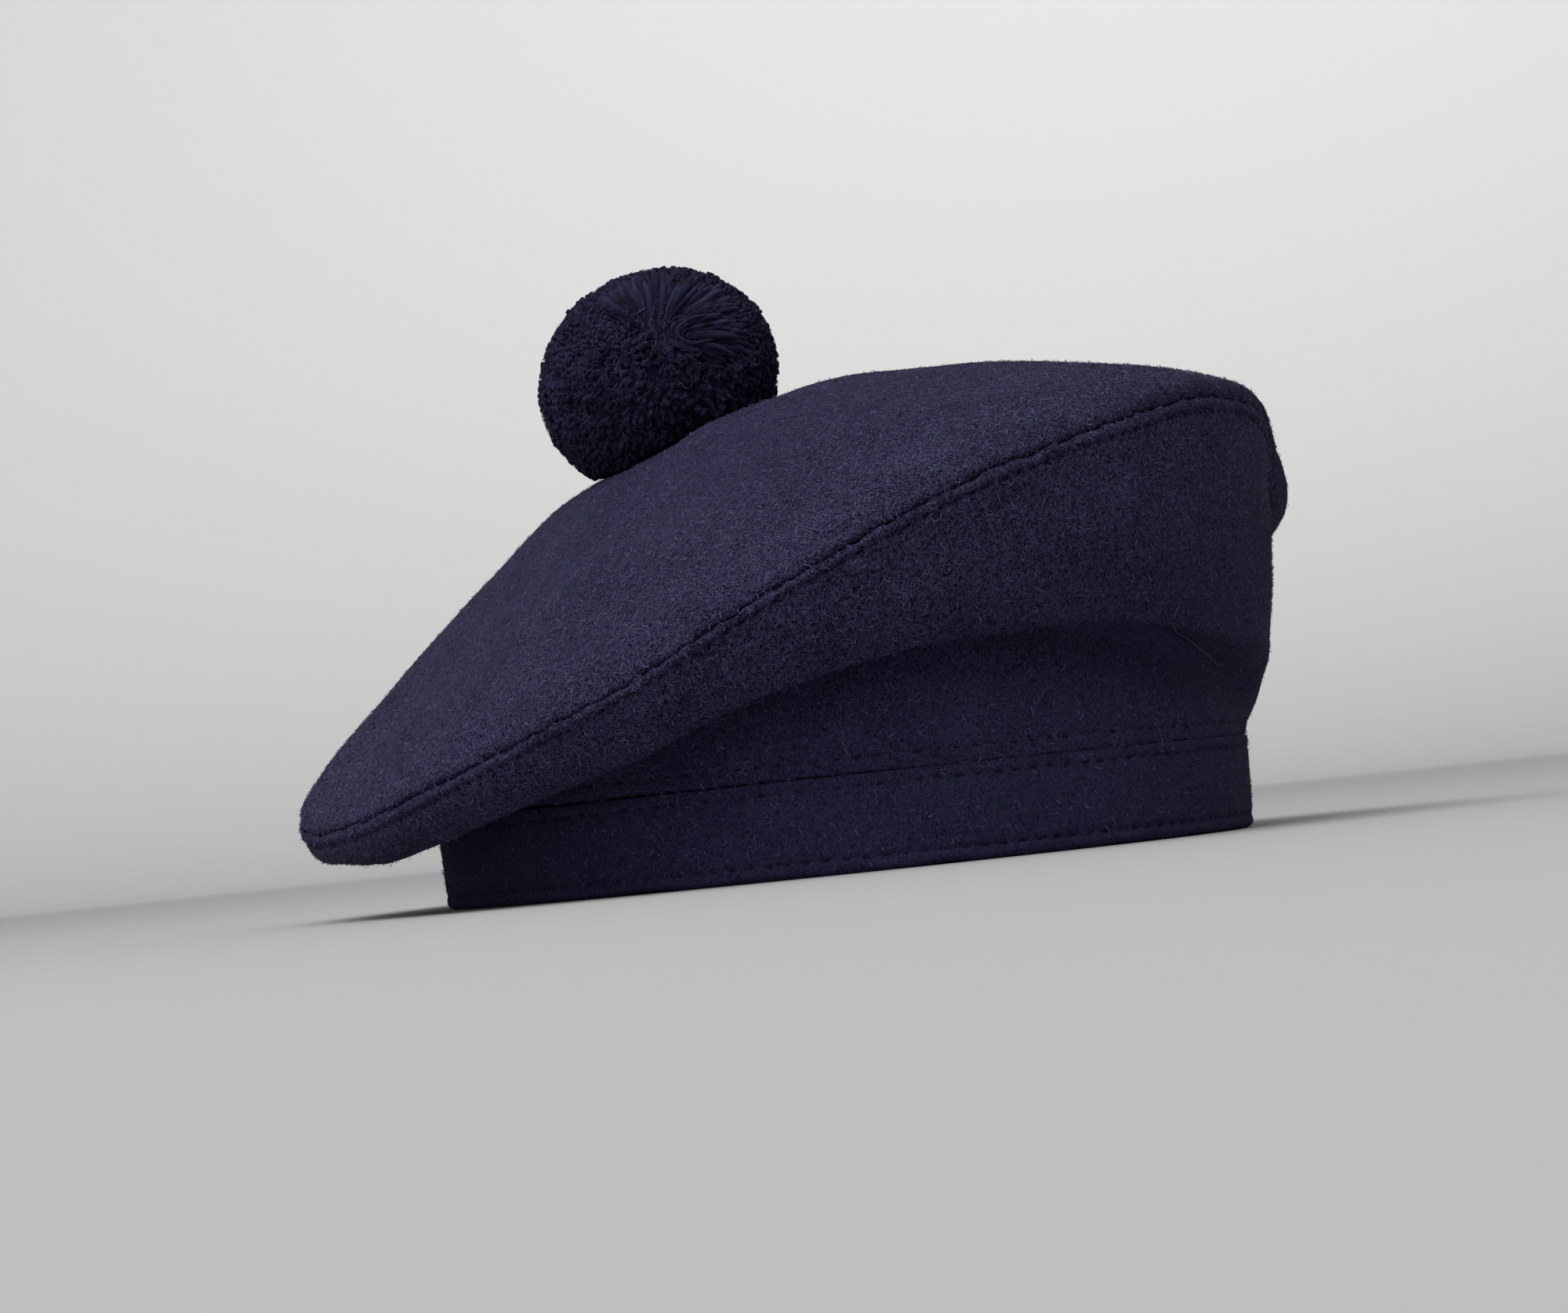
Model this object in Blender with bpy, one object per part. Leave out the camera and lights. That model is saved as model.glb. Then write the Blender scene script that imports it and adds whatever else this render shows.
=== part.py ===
"""Tam o'shanter: a soft round bonnet sewn from melton wool cloth, with a yarn pompom.

Four pieces: a flat folded headband, a side piece that rises from it and folds over on itself,
a domed round top sewn to the side piece along an outer seam, and a pompom on the top's centre.
The crown slouches to the wearer's right. Frame: metres, +Z up, rim flat at z = 0, the wearer's
face towards -Y and the wearer's left towards +X.
"""

import math
from collections import namedtuple

import bpy
from mathutils import Vector
from mathutils.bvhtree import BVHTree

MM = 0.001  # the sizes below are in millimetres

# Headband: an upright folded strip around an oval head
BAND_HALF_WIDTH = 84.3  # outer half width at its top edge, ear to ear
BAND_HALF_LENGTH = 103.0  # outer half length at its top edge, forehead to back
BAND_HEIGHT = 19.0
BAND_WALL = 4.4  # two layers of cloth
BAND_FLARE = 1.0  # how much wider the top edge is than the rim, each side
BAND_EDGE = 1.2  # rounding of the folded edges

# Crown cloth and seams
CLOTH = 2.2  # one layer of melton wool
SEAM_GAP = 0.3  # clearance between the headband and the side piece
SEAM_TRIM = 0.22  # cut back from each side of the outer seam, which leaves a like clearance
POMPOM_GAP = 0.6  # clearance between the pompom and the curved top

# Crown centre, where the pompom sits, measured from the middle of the headband
CROWN_CENTRE = Vector((-24.0, 4.0, 93.5))

# Pompom: a ball of cut yarn, a little wider than it is tall, squashed where it sits
POMPOM_RADIUS = 25.3
POMPOM_HALF_HEIGHT = 21.5
POMPOM_TILT = 12.0  # degrees, leaning with the slouch
POMPOM_LEAN_DIRECTION = -15.0  # bearing that it leans away from, degrees
POMPOM_SHIFT = 4.8  # its middle lies this far downhill of the crown centre
POMPOM_RISE = 14.8  # height of its middle over the crown centre

# Mesh density
BEARINGS = 60
STEPS = 3  # between two control points of a profile
POMPOM_SEGMENTS = 28
POMPOM_RINGS = 14

# Points that every profile has besides those of the table
STAND_OUT = 0.35  # the upright part leans out by this share of the way to the tuck ...
STAND_UP = 0.55  # ... at this share of its height
BELLY_OUT = 0.55  # share of the way from the fold out to the seam
BELLY_UP = 0.5  # share of the way from the fold up to the seam

# Points of the top between seam and crown centre: share of the way there, and how much of the
# table's rise_near, rise_far and lip they take
Over = namedtuple("Over", "share near far lip")
OVER_TOP = [
    Over(0.08, 0.5, 0.0, 1.0),
    Over(0.30, 1.0, 0.0, 0.5),
    Over(0.65, 0.0, 1.0, 0.0),
    Over(0.88, 0.0, 0.45, 0.0),
]

# Base colours, linear
MELTON_COLOUR = (0.026, 0.024, 0.052)
YARN_COLOUR = (0.017, 0.016, 0.038)

# One row for each bearing around the head, in degrees from the wearer's left (+X) through the
# back (+Y): radius and height of the tuck where the side piece turns outwards, of the lower edge
# of its fold, and of the outer seam; how far the side bulges between fold and seam; how far the
# top bulges out over the seam, and how far it rises above a straight line to the crown centre
# near the seam and near the centre.
Section = namedtuple(
    "Section", "bearing tuck_r tuck_z fold_r fold_z seam_r seam_z belly lip rise_near rise_far"
)
SECTIONS = [
    Section(0, 92, 40, 96.5, 35.5, 101, 60, 1.0, 8.0, 14, 10),
    Section(30, 98, 44, 106, 34, 112, 54, 1.5, 5.0, 14, 11),
    Section(60, 104, 46, 113, 33, 121, 49, 2.0, 3.0, 13, 11),
    Section(90, 106, 46, 115, 31, 124, 45, 2.0, 2.0, 13, 11),
    Section(120, 103, 43, 114, 25, 123, 37, 2.5, 2.0, 12, 12),
    Section(150, 95, 38, 107, 15, 117, 26, 3.0, 2.0, 8, 11),
    Section(175, 91, 36, 101, 10.5, 113, 19, 3.5, 1.5, 7, 12),
    Section(200, 92, 35, 103, 12, 114, 21, 3.0, 2.0, 8, 12),
    Section(216, 96, 37, 108, 17, 119, 27, 2.0, 2.0, 10, 12),
    Section(237, 102, 39, 112, 26, 124, 41, 1.5, 2.0, 11, 12),
    Section(252, 105, 43, 114, 35, 124, 57, 1.3, 2.0, 11, 12),
    Section(270, 105, 45, 113, 40, 120, 73, 1.3, 2.5, 11, 11),
    Section(287, 102, 44, 109, 42, 112, 82, 1.3, 3.0, 10, 10),
    Section(305, 96, 39, 101, 39, 105, 87, 1.3, 4.0, 9.5, 10),
    Section(325, 90.5, 33, 95, 38, 101, 84, 1.0, 6.0, 9.5, 10),
    Section(342, 89, 29, 91.5, 36, 97, 73, 1.0, 9.0, 12.5, 10),
]


def clear_scene():
    """Remove whatever the scene holds."""
    for old in list(bpy.data.objects):
        bpy.data.objects.remove(old, do_unlink=True)


def wool(name, colour):
    """A matt dyed wool material."""
    material = bpy.data.materials.new(name)
    material.use_nodes = True
    shader = material.node_tree.nodes["Principled BSDF"]
    shader.inputs["Base Color"].default_value = (*colour, 1.0)
    shader.inputs["Roughness"].default_value = 0.95
    shader.inputs["Metallic"].default_value = 0.0
    return material


def around(column):
    """A smooth closed curve through one column of the table, as a function of the bearing."""
    turns = 2 * math.pi
    knots = [math.radians(row.bearing) for row in SECTIONS]
    values = [getattr(row, column) for row in SECTIONS]
    knots = [knots[-1] - turns] + knots + [knots[0] + turns, knots[1] + turns]
    values = [values[-1]] + values + [values[0], values[1]]

    def slope(k):
        before = knots[k] - knots[k - 1]
        after = knots[k + 1] - knots[k]
        fall = (values[k] - values[k - 1]) / before
        climb = (values[k + 1] - values[k]) / after
        return (fall * after + climb * before) / (before + after)

    def value(angle):
        angle = angle % turns
        k = max(i for i in range(1, len(knots) - 2) if knots[i] <= angle)
        span = knots[k + 1] - knots[k]
        u = (angle - knots[k]) / span
        ends = (1 + 2 * u) * (1 - u) ** 2 * values[k] + u * u * (3 - 2 * u) * values[k + 1]
        leans = u * (1 - u) ** 2 * slope(k) + u * u * (u - 1) * slope(k + 1)
        return ends + leans * span

    return value


def smooth_line(points):
    """A curve through the points, with STEPS pieces between each two of them."""
    ends = [2 * points[0] - points[1]] + points + [2 * points[-1] - points[-2]]
    line = []
    for p0, p1, p2, p3 in zip(ends, ends[1:], ends[2:], ends[3:]):
        for step in range(STEPS):
            u = step / STEPS
            bend = (2 * p0 - 5 * p1 + 4 * p2 - p3) * u * u + (3 * (p1 - p2) + p3 - p0) * u**3
            line.append(p1 + 0.5 * ((p2 - p0) * u + bend))
    return line + [points[-1]]


def oval_radius(angle, inset):
    """Radius of the headband's oval at a bearing, this far inside its top outer edge."""
    width = BAND_HALF_WIDTH - inset
    length = BAND_HALF_LENGTH - inset
    return width * length / math.hypot(length * math.cos(angle), width * math.sin(angle))


def at_bearing(angle, radius, height):
    """The point at a bearing, radius and height."""
    return Vector((radius * math.cos(angle), radius * math.sin(angle), height))


def side_profile(angle, shape):
    """The side piece's outer face at one bearing, from the headband up to the outer seam."""
    start_r = oval_radius(angle, 0.0)
    start_z = BAND_HEIGHT + SEAM_GAP
    stand_r = start_r + STAND_OUT * (shape["tuck_r"] - start_r)
    stand_z = start_z + STAND_UP * (shape["tuck_z"] - start_z)
    belly_r = shape["fold_r"] + BELLY_OUT * (shape["seam_r"] - shape["fold_r"]) + shape["belly"]
    belly_z = shape["fold_z"] + BELLY_UP * (shape["seam_z"] - shape["fold_z"] - shape["belly"])
    corners = [
        (start_r, start_z),
        (stand_r, stand_z),
        (shape["tuck_r"], shape["tuck_z"]),
        (shape["fold_r"], shape["fold_z"]),
        (belly_r, belly_z),
        (shape["seam_r"], shape["seam_z"]),
    ]
    return smooth_line([at_bearing(angle, r, z) for r, z in corners])


def top_profile(angle, shape):
    """The top's outer face at one bearing, from the outer seam to the crown centre."""
    seam = at_bearing(angle, shape["seam_r"], shape["seam_z"])
    outwards = at_bearing(angle, 1.0, 0.0)
    up = Vector((0.0, 0.0, 1.0))

    points = [seam]
    for over in OVER_TOP:
        rise = over.near * shape["rise_near"] + over.far * shape["rise_far"]
        straight = seam.lerp(CROWN_CENTRE, over.share)
        points.append(straight + rise * up + over.lip * shape["lip"] * outwards)
    return smooth_line(points + [CROWN_CENTRE.copy()])


def crown_profiles():
    """The whole crown's outer face, one profile for each bearing, and the seam's place in them."""
    columns = {name: around(name) for name in Section._fields[1:]}
    profiles = []
    for turn in range(BEARINGS):
        angle = 2 * math.pi * turn / BEARINGS
        shape = {name: value(angle) for name, value in columns.items()}
        side = side_profile(angle, shape)
        profiles.append(side + top_profile(angle, shape)[1:])
    return profiles, len(side) - 1


def inner_profiles(profiles):
    """The same face one layer of cloth further in, along the face's normals."""
    count = len(profiles)
    inner = []
    for turn, profile in enumerate(profiles):
        left, right = profiles[turn - 1], profiles[(turn + 1) % count]
        line = []
        for k in range(len(profile) - 1):
            along = profile[k + 1] - profile[max(k - 1, 0)]
            normal = (right[k] - left[k]).cross(along).normalized()
            line.append(profile[k] - CLOTH * normal)
        inner.append(line + [profile[-1] - CLOTH * crown_normal(profiles)])
    return inner


def crown_normal(profiles):
    """The direction that the crown's centre faces."""
    ring = [profile[-2] for profile in profiles]
    centre = profiles[0][-1]
    spokes = [point - centre for point in ring]
    total = Vector((0.0, 0.0, 0.0))
    for spoke, following in zip(spokes, spokes[1:] + spokes[:1]):
        total += spoke.cross(following)
    return total.normalized()


def trimmed(line, start=0.0, end=0.0):
    """A profile cut back by these lengths at its two ends."""
    first = line[0] + (line[1] - line[0]).normalized() * start
    last = line[-1] + (line[-2] - line[-1]).normalized() * end
    return [first] + line[1:-1] + [last]


def loft_loops(name, loops, material, collection):
    """A closed ring-shaped wall: each loop is the wall's closed outline at one bearing."""
    size = len(loops[0])
    points = [point * MM for loop in loops for point in loop]
    faces = []
    for turn in range(len(loops)):
        here = turn * size
        there = (turn + 1) % len(loops) * size
        for k in range(size):
            after = (k + 1) % size
            faces.append((here + k, there + k, there + after, here + after))
    return add_piece(name, points, faces, material, collection)


def loft_dome(name, outer, inner, material, collection):
    """A closed domed wall from profiles that run from its edge to one shared centre point."""
    outlines = [out[:-1] + ins[-2::-1] for out, ins in zip(outer, inner)]
    size = len(outlines[0])
    points = [point * MM for outline in outlines for point in outline]
    outer_pole = len(points)
    inner_pole = outer_pole + 1
    points += [outer[0][-1] * MM, inner[0][-1] * MM]
    last_outer = len(outer[0]) - 2
    faces = []
    for turn in range(len(outlines)):
        here = turn * size
        there = (turn + 1) % len(outlines) * size
        for k in range(size):
            after = (k + 1) % size
            if k != last_outer:
                faces.append((here + k, there + k, there + after, here + after))
        faces.append((here + last_outer, there + last_outer, outer_pole))
        faces.append((there + last_outer + 1, here + last_outer + 1, inner_pole))
    return add_piece(name, points, faces, material, collection)


def add_piece(name, points, faces, material, collection):
    """A smooth-shaded object of these points and faces."""
    mesh = bpy.data.meshes.new(name)
    mesh.from_pydata(points, [], faces)
    mesh.materials.append(material)
    mesh.shade_smooth()
    piece = bpy.data.objects.new(name, mesh)
    collection.objects.link(piece)
    return piece


def make_headband(material, collection):
    """The folded band: a flat rim on the floor, upright walls and rounded lower edges."""
    corner = (1.0 - math.sqrt(0.5)) * BAND_EDGE  # where the rounding's middle lies
    outside = BAND_FLARE
    inside = BAND_FLARE + BAND_WALL
    section = [  # inset from the outer top edge, height
        (outside + BAND_EDGE, 0.0),
        (outside + corner, corner),
        (outside, BAND_EDGE),
        (outside / 2, BAND_HEIGHT / 2),
        (0.0, BAND_HEIGHT),
        (BAND_WALL, BAND_HEIGHT),
        (outside / 2 + BAND_WALL, BAND_HEIGHT / 2),
        (inside, BAND_EDGE),
        (inside - corner, corner),
        (inside - BAND_EDGE, 0.0),
    ]
    loops = []
    for turn in range(BEARINGS):
        angle = 2 * math.pi * turn / BEARINGS
        loops.append([at_bearing(angle, oval_radius(angle, inset), z) for inset, z in section])
    return loft_loops("headband", loops, material, collection)


def make_crown_side(outer, inner, seam, material, collection):
    """The side piece: from just above the headband, over its fold, to the outer seam."""
    loops = []
    for out, ins in zip(outer, inner):
        outer_line = trimmed(out[: seam + 1], end=SEAM_TRIM)
        inner_line = trimmed(ins[: seam + 1], end=SEAM_TRIM)
        inner_line[0].z = outer_line[0].z
        loops.append(outer_line + inner_line[::-1])
    return loft_loops("crown_side", loops, material, collection)


def make_crown_top(outer, inner, seam, material, collection):
    """The round top: from the outer seam over the dome to the crown centre."""
    outer_lines = [trimmed(line[seam:], start=SEAM_TRIM) for line in outer]
    inner_lines = [trimmed(line[seam:], start=SEAM_TRIM) for line in inner]
    return loft_dome("crown_top", outer_lines, inner_lines, material, collection)


def make_pompom(top, facing, material, collection):
    """A squashed ball whose underside follows the top that it sits on."""
    bpy.ops.mesh.primitive_uv_sphere_add(
        segments=POMPOM_SEGMENTS, ring_count=POMPOM_RINGS, radius=1.0
    )
    piece = bpy.context.active_object
    piece.name = piece.data.name = "pompom"
    lean = math.radians(POMPOM_LEAN_DIRECTION)
    uphill = at_bearing(lean, 1.0, 0.0)
    tilt = math.radians(POMPOM_TILT)
    axis = Vector((0.0, 0.0, math.cos(tilt))) - uphill * math.sin(tilt)
    middle = CROWN_CENTRE - POMPOM_SHIFT * uphill + Vector((0.0, 0.0, POMPOM_RISE))
    turn = axis.to_track_quat("Z", "Y")
    surface = BVHTree.FromObject(top, bpy.context.evaluated_depsgraph_get())
    half_sizes = Vector((POMPOM_RADIUS, POMPOM_RADIUS, POMPOM_HALF_HEIGHT))
    high = 4 * POMPOM_RADIUS * facing  # clear of the crown
    for vertex in piece.data.vertices:
        point = middle + turn @ (vertex.co * half_sizes)
        above = point + high
        seat = surface.ray_cast(above * MM, -facing)[0] / MM + POMPOM_GAP * facing
        sunk = min((point - seat).dot(facing), 0.0)
        vertex.co = (point - sunk * facing) * MM
    piece.data.materials.append(material)
    piece.data.shade_smooth()
    for other in list(piece.users_collection):
        other.objects.unlink(piece)
    collection.objects.link(piece)
    return piece


def centre_on_rim(pieces):
    """Put the origin under the middle of the whole hat, in the plane of the rim."""
    points = [vertex.co for piece in pieces for vertex in piece.data.vertices]
    middle_x = 0.5 * (min(p.x for p in points) + max(p.x for p in points))
    middle_y = 0.5 * (min(p.y for p in points) + max(p.y for p in points))
    shift = Vector((middle_x, middle_y, 0.0))
    for point in points:
        point -= shift


def main():
    """Build the hat in a collection of its own."""
    clear_scene()
    collection = bpy.data.collections.new("tam_o_shanter")
    bpy.context.scene.collection.children.link(collection)
    band_wool = wool("headband melton wool", MELTON_COLOUR)
    side_wool = wool("side melton wool", MELTON_COLOUR)
    top_wool = wool("top melton wool", MELTON_COLOUR)
    yarn = wool("pompom wool yarn", YARN_COLOUR)

    outer, seam = crown_profiles()
    inner = inner_profiles(outer)
    band = make_headband(band_wool, collection)
    side = make_crown_side(outer, inner, seam, side_wool, collection)
    top = make_crown_top(outer, inner, seam, top_wool, collection)
    pompom = make_pompom(top, crown_normal(outer), yarn, collection)
    centre_on_rim([band, side, top, pompom])


main()
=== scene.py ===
"""The finished look of a tam o'shanter: navy melton wool, topstitched seams and a yarn pompom.

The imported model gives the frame. Each cloth piece and the pompom is replaced by a fine mesh that
keeps the same sections, and gets its seams, stitches, nap and strands here. Sizes are in
millimetres and angles in degrees unless a name says otherwise. Frame: +Z up, the wearer's face
towards -Y and the wearer's left towards +X.
"""

from __future__ import annotations

import logging
import math
from dataclasses import dataclass, field
from enum import Enum
from functools import partial
from typing import Callable, ClassVar, Sequence

import bpy
import numpy as np
from bpy.types import Material, Mesh, Node, NodeOutputs, NodeSocket, NodeTree, Object
from mathutils import Matrix, Vector, noise
from mathutils.bvhtree import BVHTree


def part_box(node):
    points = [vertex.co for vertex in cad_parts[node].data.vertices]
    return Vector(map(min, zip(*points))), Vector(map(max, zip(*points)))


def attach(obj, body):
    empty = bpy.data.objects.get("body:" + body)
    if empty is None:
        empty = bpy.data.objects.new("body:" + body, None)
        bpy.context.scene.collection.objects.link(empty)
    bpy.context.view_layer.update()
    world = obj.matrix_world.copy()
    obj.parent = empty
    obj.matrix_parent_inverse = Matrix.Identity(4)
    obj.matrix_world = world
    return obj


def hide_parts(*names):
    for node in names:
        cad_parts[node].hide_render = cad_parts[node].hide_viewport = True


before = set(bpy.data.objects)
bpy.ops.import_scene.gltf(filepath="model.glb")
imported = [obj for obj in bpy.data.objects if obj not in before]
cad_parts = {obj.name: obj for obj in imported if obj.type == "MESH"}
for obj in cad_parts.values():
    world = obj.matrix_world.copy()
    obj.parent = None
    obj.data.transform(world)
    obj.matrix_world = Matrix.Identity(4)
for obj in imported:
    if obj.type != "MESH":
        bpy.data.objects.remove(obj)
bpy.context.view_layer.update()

MM = 0.001  # metres in a millimetre
TURN = 2.0 * math.pi
BODY = "root"
Array = np.ndarray
Corner = tuple[Array, Array | float]  # radius and height at each bearing
LOG = logging.getLogger("tam_o_shanter")


class Slot(Enum):
    """The record's material slots."""

    CLOTH = "melton_wool"
    YARN = "wool_yarn"


class Held(Enum):
    """How a cut of cloth is held in the finished hat."""

    FOLDED = "folded"
    STRETCHED = "stretched"


# ---- The hat's form ----


@dataclass(frozen=True)
class Section:
    """The crown at one bearing, counted from the wearer's left (+X) through the back (+Y).

    The side piece rises to its tuck, turns outwards, folds over at its lowest edge and runs up
    to the outer seam. belly is how far it bulges between fold and seam, lip how far the top
    bulges out over the seam, and the rises are how far the top stands over a straight line from
    the seam to the crown's centre, near the seam and near the centre. crisp is 1 where the fold
    is a tight one and 0 where the cloth only bends.
    """

    bearing: float
    tuck_r: float
    tuck_z: float
    fold_r: float
    fold_z: float
    seam_r: float
    seam_z: float
    belly: float
    lip: float
    rise_near: float
    rise_far: float
    crisp: float


SECTIONS = (
    Section(0, 91.5, 36.5, 96.5, 34.5, 101, 60, 1.0, 13.5, 14, 10, 0.1),
    Section(30, 98, 44, 106, 34, 112, 54, 1.5, 7.0, 14, 11, 0.3),
    Section(60, 104, 46, 113, 33, 121, 49, 2.0, 3.0, 13, 11, 0.6),
    Section(90, 106, 46, 115, 31, 124, 45, 2.0, 2.0, 13, 11, 0.8),
    Section(120, 103, 43, 114, 25, 123, 37, 2.5, 2.0, 12, 12, 0.8),
    Section(150, 95, 38, 107, 15, 117, 26, 3.0, 1.5, 7, 10.3, 0.7),
    Section(175, 91, 36, 101, 10.5, 113, 19, 3.5, 0.5, 5, 11.2, 0.6),
    Section(200, 92, 35, 103, 12, 114, 21, 3.0, 1.0, 6.5, 11.2, 0.7),
    Section(216, 96, 37, 108, 17, 119, 27, 2.0, 1.5, 9, 11.3, 0.9),
    Section(237, 101.5, 39, 112, 27, 124, 41, 1.5, 2.0, 10.5, 11.5, 1.0),
    Section(252, 103.5, 44, 113.5, 37, 124, 57, 2.0, 2.0, 11, 11.8, 1.0),
    Section(270, 103.5, 46, 112, 42.3, 120, 73, 2.4, 2.5, 10.7, 10.5, 1.0),
    Section(287, 99, 45.5, 107.5, 42.5, 112, 82, 2.8, 3.0, 9.7, 9.7, 0.9),
    Section(305, 91.5, 37.5, 100, 39, 105, 87, 2.6, 4.0, 9.5, 10, 0.7),
    Section(325, 86.5, 29.5, 95, 36, 100, 84, 1.6, 6.0, 9.5, 10, 0.45),
    Section(342, 89.2, 26, 92.4, 34, 96.5, 73, 0.5, 10.0, 12.5, 10, 0.15),
)


@dataclass(frozen=True)
class Over:
    """A point of the top between seam and centre, and how much of a section's rises it takes."""

    share: float
    near: float
    far: float
    lip: float


OVER_TOP = (
    Over(0.08, 0.5, 0.0, 1.0),
    Over(0.30, 1.0, 0.0, 0.5),
    Over(0.65, 0.0, 1.0, 0.0),
    Over(0.88, 0.0, 0.45, 0.0),
)


def around(column: str, angles: Array) -> Array:
    """Read one column of the section table at any bearings, along a smooth closed curve.

    Args:
        column: name of a field of Section.
        angles: bearings in radians, of any shape.

    Returns:
        The column's value at each bearing.
    """
    knots = np.radians([row.bearing for row in SECTIONS])
    values = np.array([getattr(row, column) for row in SECTIONS], float)
    knots = np.concatenate([knots[-1:] - TURN, knots, knots[:2] + TURN])
    values = np.concatenate([values[-1:], values, values[:2]])
    spans = np.diff(knots)
    climbs = np.diff(values) / spans
    slopes = np.zeros(len(knots))
    slopes[1:-1] = (climbs[:-1] * spans[1:] + climbs[1:] * spans[:-1]) / (spans[:-1] + spans[1:])
    turned = np.mod(angles, TURN)
    k = np.clip(np.searchsorted(knots, turned, side="right") - 1, 1, len(knots) - 3)
    share = (turned - knots[k]) / spans[k]
    return hermite(share, (values[k], values[k + 1]), (slopes[k], slopes[k + 1]), spans[k])


def section_at(angles: Array) -> dict[str, Array]:
    """Read every column of the section table at these bearings."""
    return {name: around(name, angles) for name in list(Section.__dataclass_fields__)[1:]}


def hermite(
    share: float | Array,
    ends: tuple[Array, Array],
    slopes: tuple[Array, Array],
    span: float | Array,
) -> Array:
    """Read a smooth curve between two of its knots.

    Args:
        share: how far along, from 0 to 1.
        ends: the values at the two knots.
        slopes: how fast the curve climbs there.
        span: the distance between them.

    Returns:
        The value there.
    """
    rest = 1 - share
    level = (1 + 2 * share) * rest**2 * ends[0] + share * share * (3 - 2 * share) * ends[1]
    lean = share * rest**2 * slopes[0] - share * share * rest * slopes[1]
    return level + lean * span


def curve_through(corners: Array, slopes: Array, spans: float | Array, steps: int) -> Array:
    """Run a curve through each row of corner points, with these slopes at them.

    Args:
        corners: points, shape (rows, corners, 3).
        slopes: how fast the curve moves at each, of the same shape.
        spans: the distance from each corner to the next.
        steps: pieces between each two corners.

    Returns:
        Points of the curves, shape (rows, (corners - 1) * steps + 1, 3).
    """
    ends = (corners[:, :-1], corners[:, 1:])
    climbs = (slopes[:, :-1], slopes[:, 1:])
    pieces = [hermite(step / steps, ends, climbs, spans) for step in range(steps)]
    mixed = np.stack(pieces, axis=2).reshape(len(corners), -1, 3)
    return np.concatenate([mixed, corners[:, -1:]], axis=1)


def smooth_lines(corners: Array, steps: int) -> Array:
    """Run a smooth curve through each row of corner points, evenly paced.

    Args:
        corners: points, shape (rows, corners, 3).
        steps: pieces between each two corners.

    Returns:
        Points of the curves, shape (rows, (corners - 1) * steps + 1, 3).
    """
    first = 2 * corners[:, :1] - corners[:, 1:2]
    last = 2 * corners[:, -1:] - corners[:, -2:-1]
    longer = np.concatenate([first, corners, last], axis=1)
    return curve_through(corners, (longer[:, 2:] - longer[:, :-2]) / 2, 1.0, steps)


def steady_lines(corners: Array, steps: int) -> Array:
    """Run a smooth curve through corner points whose spacing differs widely.

    Args:
        corners: points, shape (rows, corners, 3).
        steps: pieces between each two corners.

    Returns:
        Points of the curves, shape (rows, (corners - 1) * steps + 1, 3).
    """
    spans = np.linalg.norm(np.diff(corners, axis=1), axis=2, keepdims=True)
    climbs = np.diff(corners, axis=1) / spans
    before, after = spans[:, :-1], spans[:, 1:]
    turns = (climbs[:, :-1] * after + climbs[:, 1:] * before) / (before + after)
    slopes = np.concatenate([climbs[:, :1], turns, climbs[:, -1:]], axis=1)
    return curve_through(corners, slopes, spans, steps)


def lengths_along(lines: Array) -> Array:
    """Return the length from each line's start to each of its points, shape (rows, points)."""
    steps = np.linalg.norm(np.diff(lines, axis=1), axis=2)
    return np.concatenate([np.zeros((len(lines), 1)), np.cumsum(steps, axis=1)], axis=1)


def at_lengths(lines: Array, places: Array) -> Array:
    """Read each line at given lengths from its start.

    Args:
        lines: points, shape (rows, points, 3).
        places: lengths, shape (rows, wanted).

    Returns:
        Points, shape (rows, wanted, 3).
    """
    known = lengths_along(lines)
    read = np.empty((*places.shape, 3))
    for row in range(len(lines)):
        for axis in range(3):
            read[row, :, axis] = np.interp(places[row], known[row], lines[row, :, axis])
    return read


def unit(vectors: Array) -> Array:
    """Scale vectors along the last axis to length one."""
    return vectors / np.maximum(np.linalg.norm(vectors, axis=-1, keepdims=True), 1e-12)


def smoothstep(values: Array, low: float, high: float) -> Array:
    """Rise smoothly from 0 at low to 1 at high."""
    u = np.clip((values - low) / (high - low), 0.0, 1.0)
    return u * u * (3 - 2 * u)


def bump_at(values: Array, middle: float, width: float) -> Array:
    """A soft bump of height one around middle."""
    return np.exp(-(((values - middle) / width) ** 2))


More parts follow.
